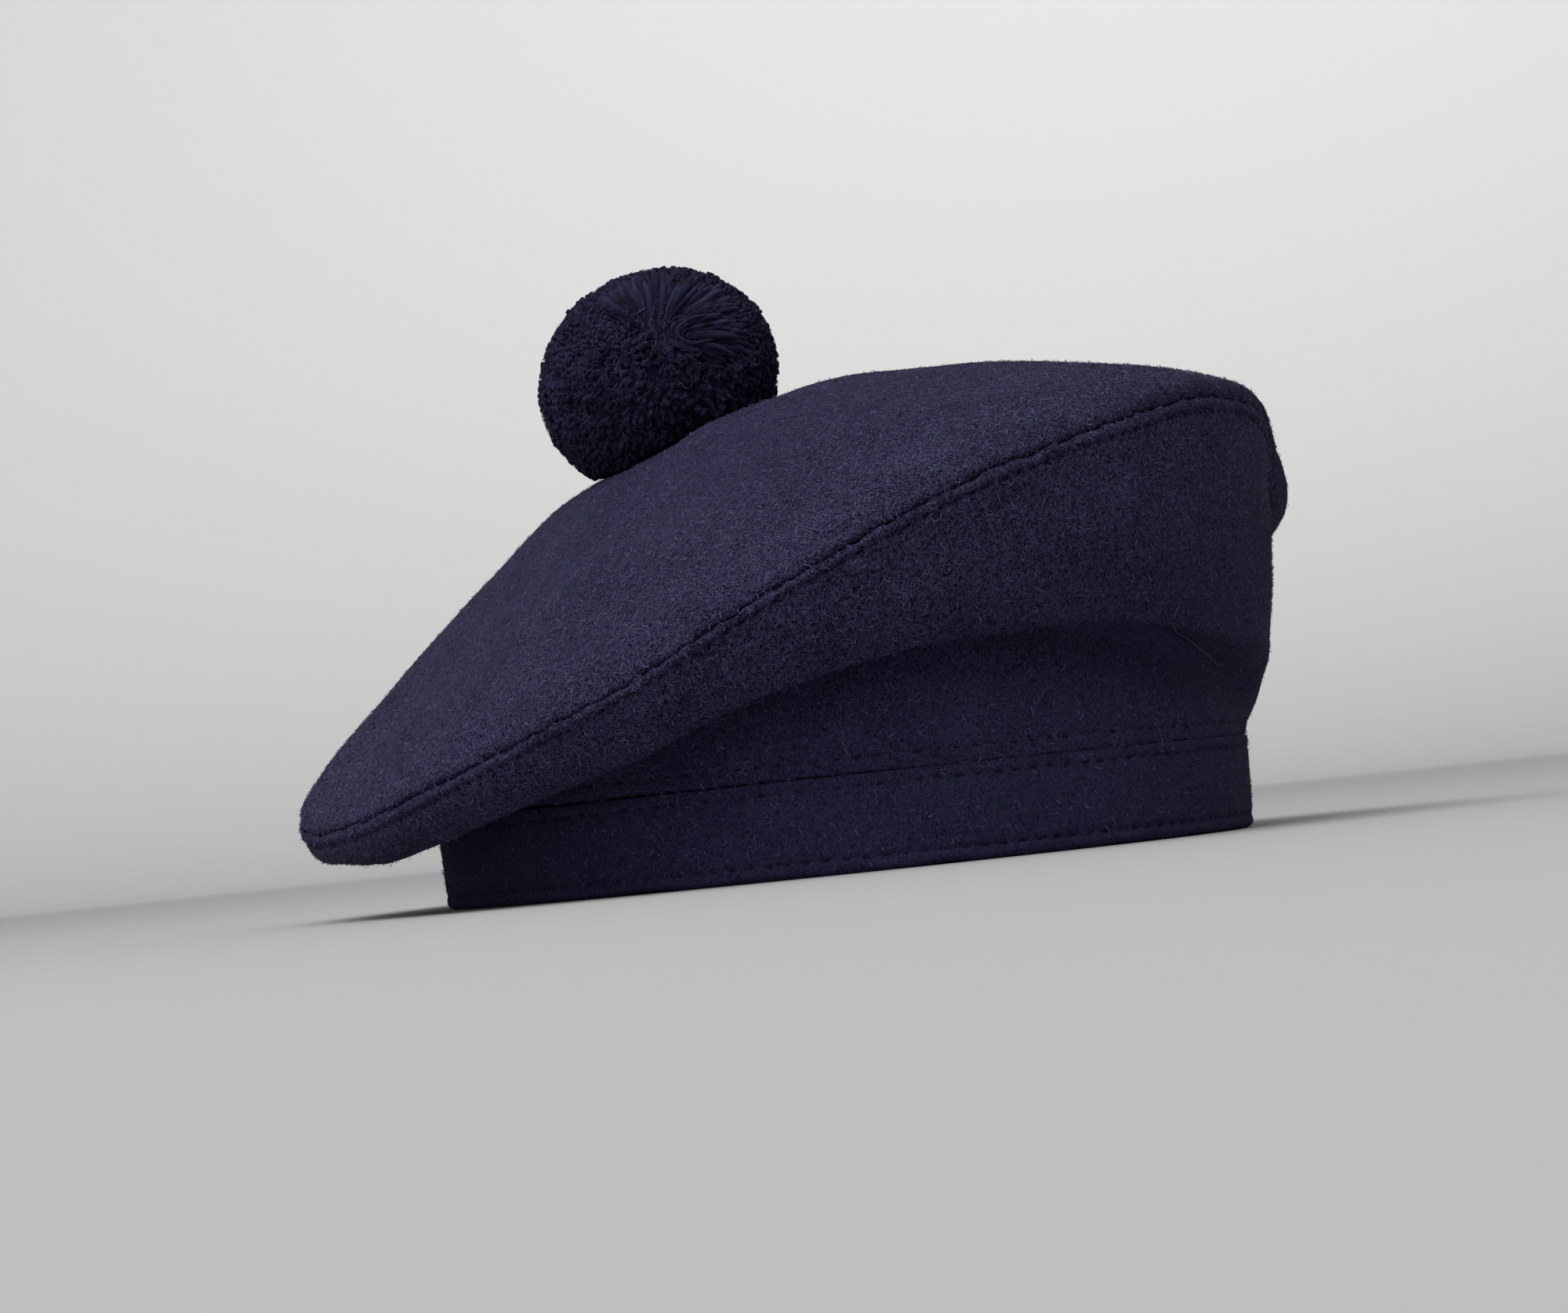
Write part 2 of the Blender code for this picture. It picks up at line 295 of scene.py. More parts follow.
@dataclass
class HatForm:
    """The shape that all the pieces share, as functions of the bearing around the head."""

    band_half_width: float = 84.3  # outer half width at the band's top edge
    band_half_length: float = 103.0
    band_height: float = 19.0
    band_wall: float = 4.4  # two layers of cloth
    band_flare: float = 1.0  # the top edge is this much wider than the rim, each side
    cloth: float = 2.2  # one layer of melton
    seam_gap: float = 0.3  # between the headband and the side piece
    crown_centre: tuple[float, float, float] = (-24.0, 4.0, 93.5)
    stand_out: float = 0.5  # the upright part leans out by this share of the way to the tuck
    stand_up: float = 0.5  # at this share of its height
    belly_out: float = 0.42
    belly_up: float = 0.4
    fold_share: float = 0.4  # how much of the ways beside the fold its bend takes, if soft
    fold_tightening: float = 0.25
    fold_thickness: float = 0.6
    table_bearings: int = 960
    table_steps: int = 24
    head_axis: Array = field(init=False)

    def __post_init__(self) -> None:
        """Find the head's upright axis in the frame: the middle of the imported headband."""
        low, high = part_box("headband")
        self.head_axis = np.array([(low.x + high.x) / 2, (low.y + high.y) / 2, 0.0]) / MM

    def oval_radius(self, angles: Array, inset: float | Array) -> Array:
        """Radius of the band's oval, this far inside its top outer edge."""
        width = self.band_half_width - inset
        length = self.band_half_length - inset
        return width * length / np.hypot(length * np.cos(angles), width * np.sin(angles))

    def placed(self, angles: Array, radius: Array, height: Array) -> Array:
        """Points at these bearings, radii and heights, from the head's axis."""
        height = np.broadcast_to(height, np.shape(radius))
        return np.stack([radius * np.cos(angles), radius * np.sin(angles), height], axis=-1)

    def table(self) -> Array:
        """The bearings at which whole sections are worked out."""
        return np.linspace(0, TURN, self.table_bearings, endpoint=False)

    def band_line(self, angles: Array) -> Array:
        """The headband's outer top edge, laid down to the rim's height."""
        return self.placed(angles, self.oval_radius(angles, 0.0), np.zeros_like(angles))

    def seam_line(self, angles: Array) -> Array:
        """The outer seam."""
        return self.placed(angles, around("seam_r", angles), around("seam_z", angles))

    def side_lines(self, angles: Array) -> Array:
        """The side piece's outer face, one line for each bearing from band to outer seam."""
        row = section_at(angles)
        start = (self.oval_radius(angles, 0.0), self.band_height + self.seam_gap)
        tuck = (row["tuck_r"], row["tuck_z"])
        fold = (row["fold_r"], row["fold_z"])
        seam = (row["seam_r"], row["seam_z"])
        stand = self.between(start, tuck, self.stand_out, self.stand_up)
        belly_r, belly_z = self.between(fold, seam, self.belly_out, self.belly_up)
        belly = (belly_r + row["belly"], belly_z - self.belly_up * row["belly"])
        near = self.fold_share - self.fold_tightening * row["crisp"]
        under = self.between(tuck, fold, 1 - near, 1 - near)
        over_r, over_z = self.between(fold, belly, near, near)
        over = (over_r + self.fold_thickness * row["crisp"], over_z)
        corners = [start, stand, tuck, under, fold, over, belly, seam]
        points = np.stack([self.placed(angles, r, z) for r, z in corners], axis=1)
        return steady_lines(points, self.table_steps)

    def between(
        self, first: Corner, second: Corner, out: float | Array, up: float | Array
    ) -> Corner:
        """Radius and height at these shares of the way from one corner to another."""
        return (first[0] + out * (second[0] - first[0]), first[1] + up * (second[1] - first[1]))

    def top_lines(self, angles: Array) -> Array:
        """The top's outer face, one line for each bearing from outer seam to crown centre."""
        row = section_at(angles)
        seam = self.placed(angles, row["seam_r"], row["seam_z"])
        outwards = self.placed(angles, np.ones_like(angles), np.zeros_like(angles))
        centre = np.array(self.crown_centre)
        up = np.array([0.0, 0.0, 1.0])
        points = [seam]
        for over in OVER_TOP:
            rise = over.near * row["rise_near"] + over.far * row["rise_far"]
            straight = seam + (centre - seam) * over.share
            bulge = (over.lip * row["lip"])[:, None] * outwards
            points.append(straight + rise[:, None] * up + bulge)
        points.append(np.broadcast_to(centre, seam.shape))
        return smooth_lines(np.stack(points, axis=1), self.table_steps)


# ---- Node helpers and finishes ----


def linear(hex_colour: str) -> tuple[float, float, float, float]:
    """Turn an sRGB hex colour into a linear one with full alpha."""
    parts = [int(hex_colour[k : k + 2], 16) / 255 for k in (0, 2, 4)]
    bent = [c / 12.92 if c <= 0.04045 else ((c + 0.055) / 1.055) ** 2.4 for c in parts]
    return (*bent, 1.0)


def output(node: Node, name: str = "") -> NodeSocket:
    """Return the output of this name, or the first, that the node's settings leave in use."""
    return next(s for s in node.outputs if s.enabled and name in ("", s.name))


def add_node(tree: NodeTree, kind: str, inputs: dict | None = None, **settings: object) -> Node:
    """Add one node with its settings, values and links.

    Args:
        tree: the tree that it goes in.
        kind: the type of the node, such as ShaderNodeMath.
        inputs: for each input, by name or by number, a value, another node's output, a node
            whose first output is meant, or several of these in a list. A name that several
            inputs share means the first that the settings leave in use.
        settings: the node's own properties by name.

    Returns:
        The new node.
    """
    node = tree.nodes.new(kind)
    for name, value in settings.items():
        setattr(node, name, value)
    for name, value in (inputs or {}).items():
        if isinstance(name, int):
            socket = node.inputs[name]
        else:
            socket = next(s for s in node.inputs if s.name == name and s.enabled)
        sources = value if isinstance(value, list) else [value]
        if isinstance(sources[0], (Node, NodeSocket)):
            for source in sources:
                tree.links.new(output(source) if isinstance(source, Node) else source, socket)
        else:
            socket.default_value = value
    return node


Adder = Callable[..., Node]  # add_node, for one tree


def set_stops(ramp: Node, stops: Sequence[tuple[float, str]]) -> Node:
    """Give a colour ramp its colours, each as a place from 0 to 1 and an sRGB hex value."""
    elements = ramp.color_ramp.elements
    for element, (place, colour) in zip(elements, (stops[0], stops[-1])):
        element.position, element.color = place, linear(colour)
    for place, colour in stops[1:-1]:
        elements.new(place).color = linear(colour)
    return ramp


def wool_sheen(weight: float, tint: str) -> dict:
    """Inputs for the pale bloom of wool that turns away from the eye."""
    return {"Sheen Weight": weight, "Sheen Roughness": 0.5, "Sheen Tint": linear(tint)}


@dataclass(frozen=True)
class DyePatches:
    """Soft patches in which the dye took unevenly, a little warmer or cooler than the rest."""

    width: float
    detail: float
    edge: float  # how softly they end
    warm: str
    cool: str

    def over(self, add: Adder, place: NodeSocket, colour: Node) -> Node:
        """Tint a colour with the patches.

        Args:
            add: adds a node to the material's tree.
            place: where on the piece.
            colour: the node whose colour is tinted.

        Returns:
            The node with the tinted colour.
        """
        patches = add(
            "ShaderNodeTexNoise",
            {"Vector": place, "Scale": 1 / (self.width * MM), "Detail": self.detail},
        )
        lean = add(
            "ShaderNodeMapRange",
            {"Value": patches, "From Min": 0.5 - self.edge, "From Max": 0.5 + self.edge},
            interpolation_type="SMOOTHSTEP",
        )
        tint = add(
            "ShaderNodeMix",
            {"Factor": lean, "A": linear(self.warm), "B": linear(self.cool)},
            data_type="RGBA",
        )
        return add(
            "ShaderNodeMix",
            {"Factor": 1.0, "A": colour, "B": tint},
            data_type="RGBA", blend_type="MULTIPLY",
        )


@dataclass(frozen=True)
class Finish:
    """A material: subclasses add its nodes and say what the shader gets."""

    name: str

    def material(self) -> Material:
        """Build the node material."""
        made = bpy.data.materials.new(self.name)
        made.use_nodes = True
        tree = made.node_tree
        tree.nodes.clear()
        add = partial(add_node, tree)
        shader = add("ShaderNodeBsdfPrincipled", self.look(add))
        add("ShaderNodeOutputMaterial", {"Surface": shader})
        return made

    def look(self, add: Adder) -> dict:
        """Add the finish's own nodes and return the shader's inputs."""
        raise NotImplementedError


@dataclass(frozen=True)
class MeltonWool(Finish):
    """Melton: woollen cloth, milled until the weave is gone, with a short raised nap.

    The milling gives a matt, grainy face of matted fibres with small pits between them, and the
    nap gives the pale bloom where the cloth turns away from the eye. The colour is painted darker
    where the fibres lie low and in the pits, and paler on their tips: painted shade and highlight
    over the relief.
    """

    name: str = "melton_wool_milled"
    shade: str = "0c0b19"  # painted shade, deep between the fibres
    face: str = "272541"  # the usual tone
    bloom: str = "4a486a"  # painted highlight, on the tips of the nap
    sheen_tint: str = "9a96cc"
    sheen: float = 0.03
    fibre: float = 0.32  # width of a curl of fibre
    pit: float = 0.42  # spacing of the small pits
    cloud: float = 17.0  # width of the soft mottling
    relief: float = 0.2  # height of the nap
    rubbed: float = 0.5  # share of the grain left where hands have smoothed the cloth
    raised: float = 1.5  # and of it where the cloth is bent over a seam
    dye: DyePatches = DyePatches(34.0, 2.0, 0.15, "fff8fd", "f5fffa")

    def look(self, add: Adder) -> dict:
        """Colour and relief from the height of the fibres, patterned on object coordinates. The
        colour is painted shade where the fibres lie low and painted highlight where they stand
        high.
        """
        place = output(add("ShaderNodeTexCoord"), "Object")
        height = self.height(add, place)
        # painted shade and highlight: the tone follows the fibres' height, dark in the pits, pale
        # on the tips
        tone = add("ShaderNodeValToRGB", {"Fac": height})
        set_stops(tone, ((0.05, self.shade), (0.45, self.face), (0.95, self.bloom)))
        relief = add(
            "ShaderNodeBump", {"Strength": 0.9, "Distance": self.relief * MM, "Height": height}
        )
        return {
            "Base Color": self.dye.over(add, place, tone),
            "Normal": relief,
            "Roughness": 0.95,
            "Specular IOR Level": 0.07,
            **wool_sheen(self.sheen, self.sheen_tint),
        }

    def height(self, add: Adder, place: NodeSocket) -> Node:
        """Height of the matted fibres from 0 to 1, rougher where the grain attribute is high, and
        lower there, which paints shade near the outer seam and a little over the top.
        """
        curls = add(
            "ShaderNodeTexNoise",
            {"Vector": place, "Scale": 0.5 / (self.fibre * MM), "Detail": 3.0, "Roughness": 0.7,
             "Lacunarity": 2.1, "Offset": 0.9, "Gain": 2.0, "Distortion": 1.4},
            noise_type="RIDGED_MULTIFRACTAL",
        )
        curl_tone = add("ShaderNodeMapRange", {"Value": curls, "From Min": 0.2, "From Max": 1.6})
        pits = add(
            "ShaderNodeTexNoise",
            {"Vector": place, "Scale": 1 / (self.pit * MM), "Detail": 2.0, "Distortion": 0.8},
        )
        pit_mask = add(
            "ShaderNodeMapRange",
            {"Value": pits, "From Min": 0.52, "From Max": 0.72},
            interpolation_type="SMOOTHSTEP",
        )
        clouds = add(
            "ShaderNodeTexNoise",
            {"Vector": place, "Scale": 1 / (self.cloud * MM), "Detail": 4.0, "Roughness": 0.6},
        )
        cloud_tone = add(
            "ShaderNodeMapRange",
            {"Value": clouds, "From Min": 0.3, "From Max": 0.7, "To Min": -0.06, "To Max": 0.09},
        )
        pitted = add(
            "ShaderNodeMath", {0: pit_mask, 1: -0.25, 2: curl_tone}, operation="MULTIPLY_ADD"
        )
        centred = add("ShaderNodeMath", {0: pitted, 1: 0.4}, operation="SUBTRACT")
        mottled = add("ShaderNodeMath", {0: centred, 1: cloud_tone}, operation="ADD")
        grain = output(add("ShaderNodeAttribute", attribute_name="grain"), "Fac")
        strength = add(
            "ShaderNodeMapRange", {"Value": grain, "To Min": self.rubbed, "To Max": self.raised}
        )
        # painted shade: the higher the grain attribute, the lower the tone, so the cloth is darker
        # near the outer seam and a little over the top
        level = add("ShaderNodeMapRange", {"Value": grain, "To Min": 0.4, "To Max": 0.24})
        return add(
            "ShaderNodeMath",
            {0: mottled, 1: strength, 2: level},
            operation="MULTIPLY_ADD", use_clamp=True,
        )


@dataclass(frozen=True)
class LooseFibre(Finish):
    """Loose wool fibre: single hairs that milling left standing on the cloth.

    They are a little paler than the cloth, so that they draw fine curls on it.
    """

    name: str = "wool_fibre_dyed"
    dark: str = "232139"
    pale: str = "514e74"
    sheen_tint: str = "a39fc4"
    sheen: float = 0.08

    def look(self, add: Adder) -> dict:
        """Colour from the tone attribute of each fibre."""
        tone = output(add("ShaderNodeAttribute", attribute_name="tone"), "Fac")
        colour = add("ShaderNodeValToRGB", {"Fac": tone})
        return {
            "Base Color": set_stops(colour, ((0.1, self.dark), (1.0, self.pale))),
            "Roughness": 0.8,
            "Specular IOR Level": 0.2,
            **wool_sheen(self.sheen, self.sheen_tint),
        }


@dataclass(frozen=True)
class WoolYarn(Finish):
    """Worsted yarn, plied and cut: soft fluffy strands, each of a slightly different tone.

    The loose fibres blur a strand's outline, and painted shade darkens each strand towards the
    tie, so the cut ends are paler than what lies deeper in the ball.
    """

    name: str = "wool_yarn_plied"
    dark: str = "0f0e1c"
    face: str = "1d1b30"
    pale: str = "302e49"
    sheen_tint: str = "a39fc4"
    sheen: float = 0.08
    fluff: float = 0.4  # width of the marks that the fibres leave
    relief: float = 0.2
    dye: DyePatches = DyePatches(5.0, 1.0, 0.1, "fff2fa", "ecf8ff")

    def look(self, add: Adder) -> dict:
        """Colour from each strand's tone and from how far along it a place is, the deeper parts
        darkened with painted shade.
        """
        place = output(add("ShaderNodeTexCoord"), "Object")
        tone, along = (
            output(add("ShaderNodeAttribute", attribute_name=name), "Fac")
            for name in ("tone", "along")
        )
        fuzz = add(
            "ShaderNodeTexNoise",
            {"Vector": place, "Scale": 1 / (self.fluff * MM), "Detail": 3.0, "Roughness": 0.7,
             "Distortion": 0.6},
        )
        # painted shade: strands are darker towards the tie, deep in the ball
        lit = add(
            "ShaderNodeMapRange",
            {"Value": along, "From Min": 0.35, "From Max": 1.0, "To Min": -0.17, "To Max": 0.05},
            interpolation_type="SMOOTHSTEP",
        )
        mixed = add("ShaderNodeMath", {0: tone, 1: lit}, operation="ADD")
        # painted shade and highlight: the tone follows the same fuzz that gives the relief
        grain = add("ShaderNodeMath", {0: fuzz, 1: 0.7, 2: -0.35}, operation="MULTIPLY_ADD")
        total = add("ShaderNodeMath", {0: mixed, 1: grain}, operation="ADD", use_clamp=True)
        colour = add("ShaderNodeValToRGB", {"Fac": total})
        set_stops(colour, ((0.05, self.dark), (0.5, self.face), (1.0, self.pale)))
        relief = add(
            "ShaderNodeBump", {"Strength": 0.8, "Distance": self.relief * MM, "Height": fuzz}
        )
        return {
            "Base Color": self.dye.over(add, place, colour),
            "Normal": relief,
            "Roughness": 0.95,
            "Specular IOR Level": 0.07,
            **wool_sheen(self.sheen, self.sheen_tint),
        }


@dataclass(frozen=True)
class SewingThread(Finish):
    """Spun polyester sewing thread: smoother than the wool, so it has a faint gloss. It is darker
    than the cloth: partly the thread's own navy, partly painted shade of the dimple it lies in.
    """

    name: str = "sewing_thread_spun"
    # shade is painted shade between the plies; both colours carry painted shade of the stitch's
    # dimple
    shade: str = "090814"
    colour: str = "17152c"
    ply: float = 0.25
    relief: float = 0.1

    def look(self, add: Adder) -> dict:
        """Colour and relief from the plies."""
        place = output(add("ShaderNodeTexCoord"), "Object")
        plies = add(
            "ShaderNodeTexNoise", {"Vector": place, "Scale": 1 / (self.ply * MM), "Detail": 2.0}
        )
        tinted = add(
            "ShaderNodeMix",
            {"Factor": plies, "A": linear(self.shade), "B": linear(self.colour)},
            data_type="RGBA",
        )
        relief = add(
            "ShaderNodeBump", {"Strength": 0.5, "Distance": self.relief * MM, "Height": plies}
        )
        return {
            "Base Color": tinted, "Normal": relief, "Roughness": 0.7, "Specular IOR Level": 0.1,
        }


@dataclass(frozen=True)
class PaperSweep(Finish):
    """Matt background paper, painted grey where the hat stands and pale far behind it: painted
    shade around the hat.
    """

    name: str = "background_paper_matt"
    near: str = "afb1b1"
    far: str = "f4f4f3"
    middle: tuple[float, float, float] = (-0.2, -1.5, 0.0)  # of the painted grey part, metres
    fade_from: float = 2.9
    fade_to: float = 4.6

    def look(self, add: Adder) -> dict:
        """Colour from the distance to the middle of the painted grey part."""
        place = output(add("ShaderNodeTexCoord"), "Object")
        away = add("ShaderNodeVectorMath", {0: place, 1: self.middle}, operation="DISTANCE")
        fade = add(
            "ShaderNodeMapRange",
            {"Value": away, "From Min": self.fade_from, "From Max": self.fade_to},
            interpolation_type="SMOOTHSTEP",
        )
        tinted = add(
            "ShaderNodeMix",
            {"Factor": fade, "A": linear(self.near), "B": linear(self.far)},
            data_type="RGBA",
        )
        return {"Base Color": tinted, "Roughness": 0.9, "Specular IOR Level": 0.1}


# ---- Meshes ----


def mesh_of(name: str, points: Array, faces: Sequence[Sequence[int]]) -> Mesh:
    """Make a smooth-shaded mesh of points in millimetres from the head's axis."""
    mesh = bpy.data.meshes.new(name)
    mesh.from_pydata((points * MM).tolist(), [], faces)
    mesh.shade_smooth()
    return mesh


def line_mesh(name: str, points: Array, edges: Array) -> Mesh:
    """Make a mesh of edges alone, of points in millimetres from the head's axis."""
    mesh = bpy.data.meshes.new(name)
    mesh.from_pydata((points * MM).tolist(), edges.tolist(), [])
    return mesh


def give(mesh: Mesh, name: str, values: Sequence[float], domain: str = "POINT") -> None:
    """Store values on a mesh as an attribute.

    Args:
        mesh: the mesh.
        name: the attribute's name.
        values: one number, or one row of three, for each point or face.
        domain: POINT or FACE.
    """
    held = np.asarray(values, np.float32)
    kind, store = ("FLOAT", "value") if held.ndim == 1 else ("FLOAT_VECTOR", "vector")
    mesh.attributes.new(name, kind, domain).data.foreach_set(store, held.ravel())


def join_rings(first: Array, second: Array) -> list[tuple[int, ...]]:
    """Join two closed rings of points with faces.

    Args:
        first: the point numbers of one ring.
        second: those of the next, as many, half as many, twice as many, or one.

    Returns:
        The faces between them.
    """
    if len(first) < len(second):
        return [face[::-1] for face in join_rings(second, first)]
    a = first.tolist()
    b = second.tolist()
    after = a[1:] + a[:1]
    if len(b) == 1:
        return [(p, q, b[0]) for p, q in zip(a, after)]
    if len(a) == len(b):
        return [(p, q, s, r) for p, q, r, s in zip(a, after, b, b[1:] + b[:1])]
    faces: list[tuple[int, ...]] = []
    for k, (r, s) in enumerate(zip(b, b[1:] + b[:1])):
        p, q, t = a[2 * k], a[2 * k + 1], a[(2 * k + 2) % len(a)]
        faces += [(p, q, r), (q, s, r), (q, t, s)]
    return faces


def ring_faces(rings: Sequence[Array], closed: bool) -> list[list[tuple[int, ...]]]:
    """Faces from each ring of points to the next, and from the last to the first if closed."""
    starts = np.cumsum([0] + [len(ring) for ring in rings])
    numbers = [np.arange(first, last) for first, last in zip(starts, starts[1:])]
    following = numbers[1:] + (numbers[:1] if closed else [])
    return [
        [] if len(here) == len(there) == 1 else join_rings(here, there)
        for here, there in zip(numbers, following)
    ]


def shell(
    name: str,
    rings: Sequence[Array],
    closed: bool,
    nap: Sequence[float],
    grain: Sequence[float] = (),
) -> Mesh:
    """Build a closed wall from rings of points that follow each other round its section.

    Args:
        name: the mesh's name.
        rings: arrays of points, each of shape (count, 3). A ring of one point is a pole.
        closed: whether the last ring joins the first.
        nap: how much of the usual nap grows between each ring and the next, for as many of the
            first rings as the eye sees.
        grain: how strongly the cloth's face is grained there, 0 where it is worn smooth. It
            also sets the painted shade, darker where it is high.

    Returns:
        The mesh, with those shares as its nap and grain attributes on the faces.
    """
    bands = ring_faces(rings, closed)
    faces = [face for band in bands for face in band]
    points = np.concatenate(rings)
    if signed_volume(points, faces) < 0:
        faces = [face[::-1] for face in faces]
    mesh = mesh_of(name, points, faces)
    for label, shares in {"nap": nap, "grain": grain}.items():
        every = np.concatenate([shares, np.zeros(len(bands) - len(shares))])
        give(mesh, label, np.repeat(every, [len(band) for band in bands]), "FACE")
    return mesh


def signed_volume(points: Array, faces: Sequence[Sequence[int]]) -> float:
    """Volume inside the faces, negative if they point inwards."""
    corners = np.array([(f[0], f[k], f[k + 1]) for f in faces for k in range(1, len(f) - 1)])
    a, b, c = (points[corners[:, k]] for k in range(3))
    return float(np.einsum("ij,ij->i", a, np.cross(b, c)).sum() / 6)


def grid_normals(grid: Array) -> Array:
    """Outward normals of a grid of points that is closed along its first axis."""
    round_it = np.roll(grid, -1, axis=0) - np.roll(grid, 1, axis=0)
    along = np.gradient(grid, axis=1)
    return unit(np.cross(round_it, along))


def unevenness(points: Array, width: float, seed: float) -> Array:
    """Soft noise from about -1 to 1 at points of any shape, in bumps of this width."""
    flat = points.reshape(-1, 3) / width + seed
    values = np.fromiter((noise.noise(Vector(p)) for p in flat.tolist()), float, len(flat))
    return 1.6 * values.reshape(points.shape[:-1])


@dataclass(frozen=True)
class Ripple:
    """Soft unevenness: how high it is, how wide its bumps are, and which noise it is."""

    amount: float
    width: float
    seed: float

    def at(self, points: Array) -> Array:
        """Its height at points of any shape."""
        return self.amount * unevenness(points, self.width, self.seed)


def even_bearings(line: Callable[[Array], Array], count: int) -> Array:
    """Bearings that cut a closed line round the head into equal lengths."""
    dense = np.linspace(0, TURN, 4 * count + 1)
    lengths = lengths_along(line(dense)[None])[0]
    return np.interp(np.arange(count) * lengths[-1] / count, lengths, dense)


def show(name: str, data: bpy.types.ID) -> Object:
    """Put a new object with this mesh, light or camera into the scene."""
    shown = bpy.data.objects.new(name, data)
    bpy.context.scene.collection.objects.link(shown)
    return shown


def to_frame(mesh: Mesh, form: HatForm) -> Mesh:
    """Move a mesh from the head's axis to its place in the frame."""
    mesh.transform(Matrix.Translation(Vector(form.head_axis * MM)))
    return mesh


def add_piece(
    name: str,
    mesh: Mesh,
    material: Material,
    stands_for: Sequence[str] = (),
) -> Object:
    """Show a mesh as a finished piece of the hat.

    Args:
        name: the piece's name.
        mesh: its mesh, already in the frame.
        material: its finish.
        stands_for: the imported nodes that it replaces.

    Returns:
        The new object, riding on the hat's one body.
    """
    mesh.name = name
    mesh.materials.clear()
    mesh.materials.append(material)
    piece = show(name, mesh)
    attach(piece, BODY)
    if stands_for:
        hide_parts(*stands_for)
    mesh.calc_loop_triangles()
    LOG.info("%s: %d triangles", name, len(mesh.loop_triangles))
    return piece


# ---- Geometry Nodes ----


@dataclass
class NodeMaker:
    """A Geometry Nodes tree that turns one mesh into another, with named inputs.

    Subclasses name the inputs and add the nodes. apply() runs the tree on a mesh and returns a
    plain one.
    """

    sizes: ClassVar[tuple[str, ...]] = ()  # inputs that are lengths or shares
    counts: ClassVar[tuple[str, ...]] = ()  # and those that are whole numbers

    name: str

    def tree(self) -> NodeTree:
        """Build the tree: group input, the subclass's nodes, realized instances, material."""
        tree = bpy.data.node_groups.new(self.name, "GeometryNodeTree")
        kinds = {"Geometry": "NodeSocketGeometry"}
        kinds.update({label: "NodeSocketFloat" for label in self.sizes})
        kinds.update({label: "NodeSocketInt" for label in self.counts})
        kinds["Material"] = "NodeSocketMaterial"
        for label, kind in kinds.items():
            tree.interface.new_socket(label, in_out="INPUT", socket_type=kind)
        tree.interface.new_socket("Geometry", in_out="OUTPUT", socket_type="NodeSocketGeometry")
        given = tree.nodes.new("NodeGroupInput").outputs
        add = partial(add_node, tree)
        made = self.nodes(add, given)
        real = add("GeometryNodeRealizeInstances", {"Geometry": made})
        shaded = add("GeometryNodeSetShadeSmooth", {0: real, "Shade Smooth": True})
        dressed = add(
            "GeometryNodeSetMaterial", {"Geometry": shaded, "Material": given["Material"]}
        )
        add("NodeGroupOutput", {"Geometry": dressed})
        return tree

    def nodes(self, add: Adder, given: NodeOutputs) -> Node:
        """Add the nodes between the group's input and its realized result."""
        raise NotImplementedError

    def apply(self, mesh: Mesh, values: dict) -> Mesh:
        """Run the tree on a mesh.

        Args:
            mesh: what the tree starts from.
            values: a value for each of the tree's named inputs.

        Returns:
            The result as a plain mesh.
        """
        tree = self.tree()
        carrier = show(self.name, mesh)
        modifier = carrier.modifiers.new(self.name, "NODES")
        modifier.node_group = tree
        for item in tree.interface.items_tree:
            if item.in_out == "INPUT" and item.name in values:
                modifier[item.identifier] = values[item.name]
        ready = carrier.evaluated_get(bpy.context.evaluated_depsgraph_get())
        result = bpy.data.meshes.new_from_object(ready)
        bpy.data.objects.remove(carrier)
        return result


@dataclass(frozen=True)
class Curl:
    """One bent fibre that starts at the origin and lies along the cloth."""

    middle: tuple[float, float, float]
    end: tuple[float, float, float]


CURLS = (
    Curl((0.55, 0.24, 0.16), (1.05, -0.06, 0.03)),
    Curl((0.75, 0.08, 0.20), (0.72, 0.62, 0.08)),
    Curl((0.80, -0.16, 0.20), (0.55, -0.62, 0.06)),
    Curl((0.55, -0.12, 0.24), (1.15, 0.08, 0.10)),
)
CURL_ROOT = (0.0, 0.0, -0.06)
CURL_STEPS = 2


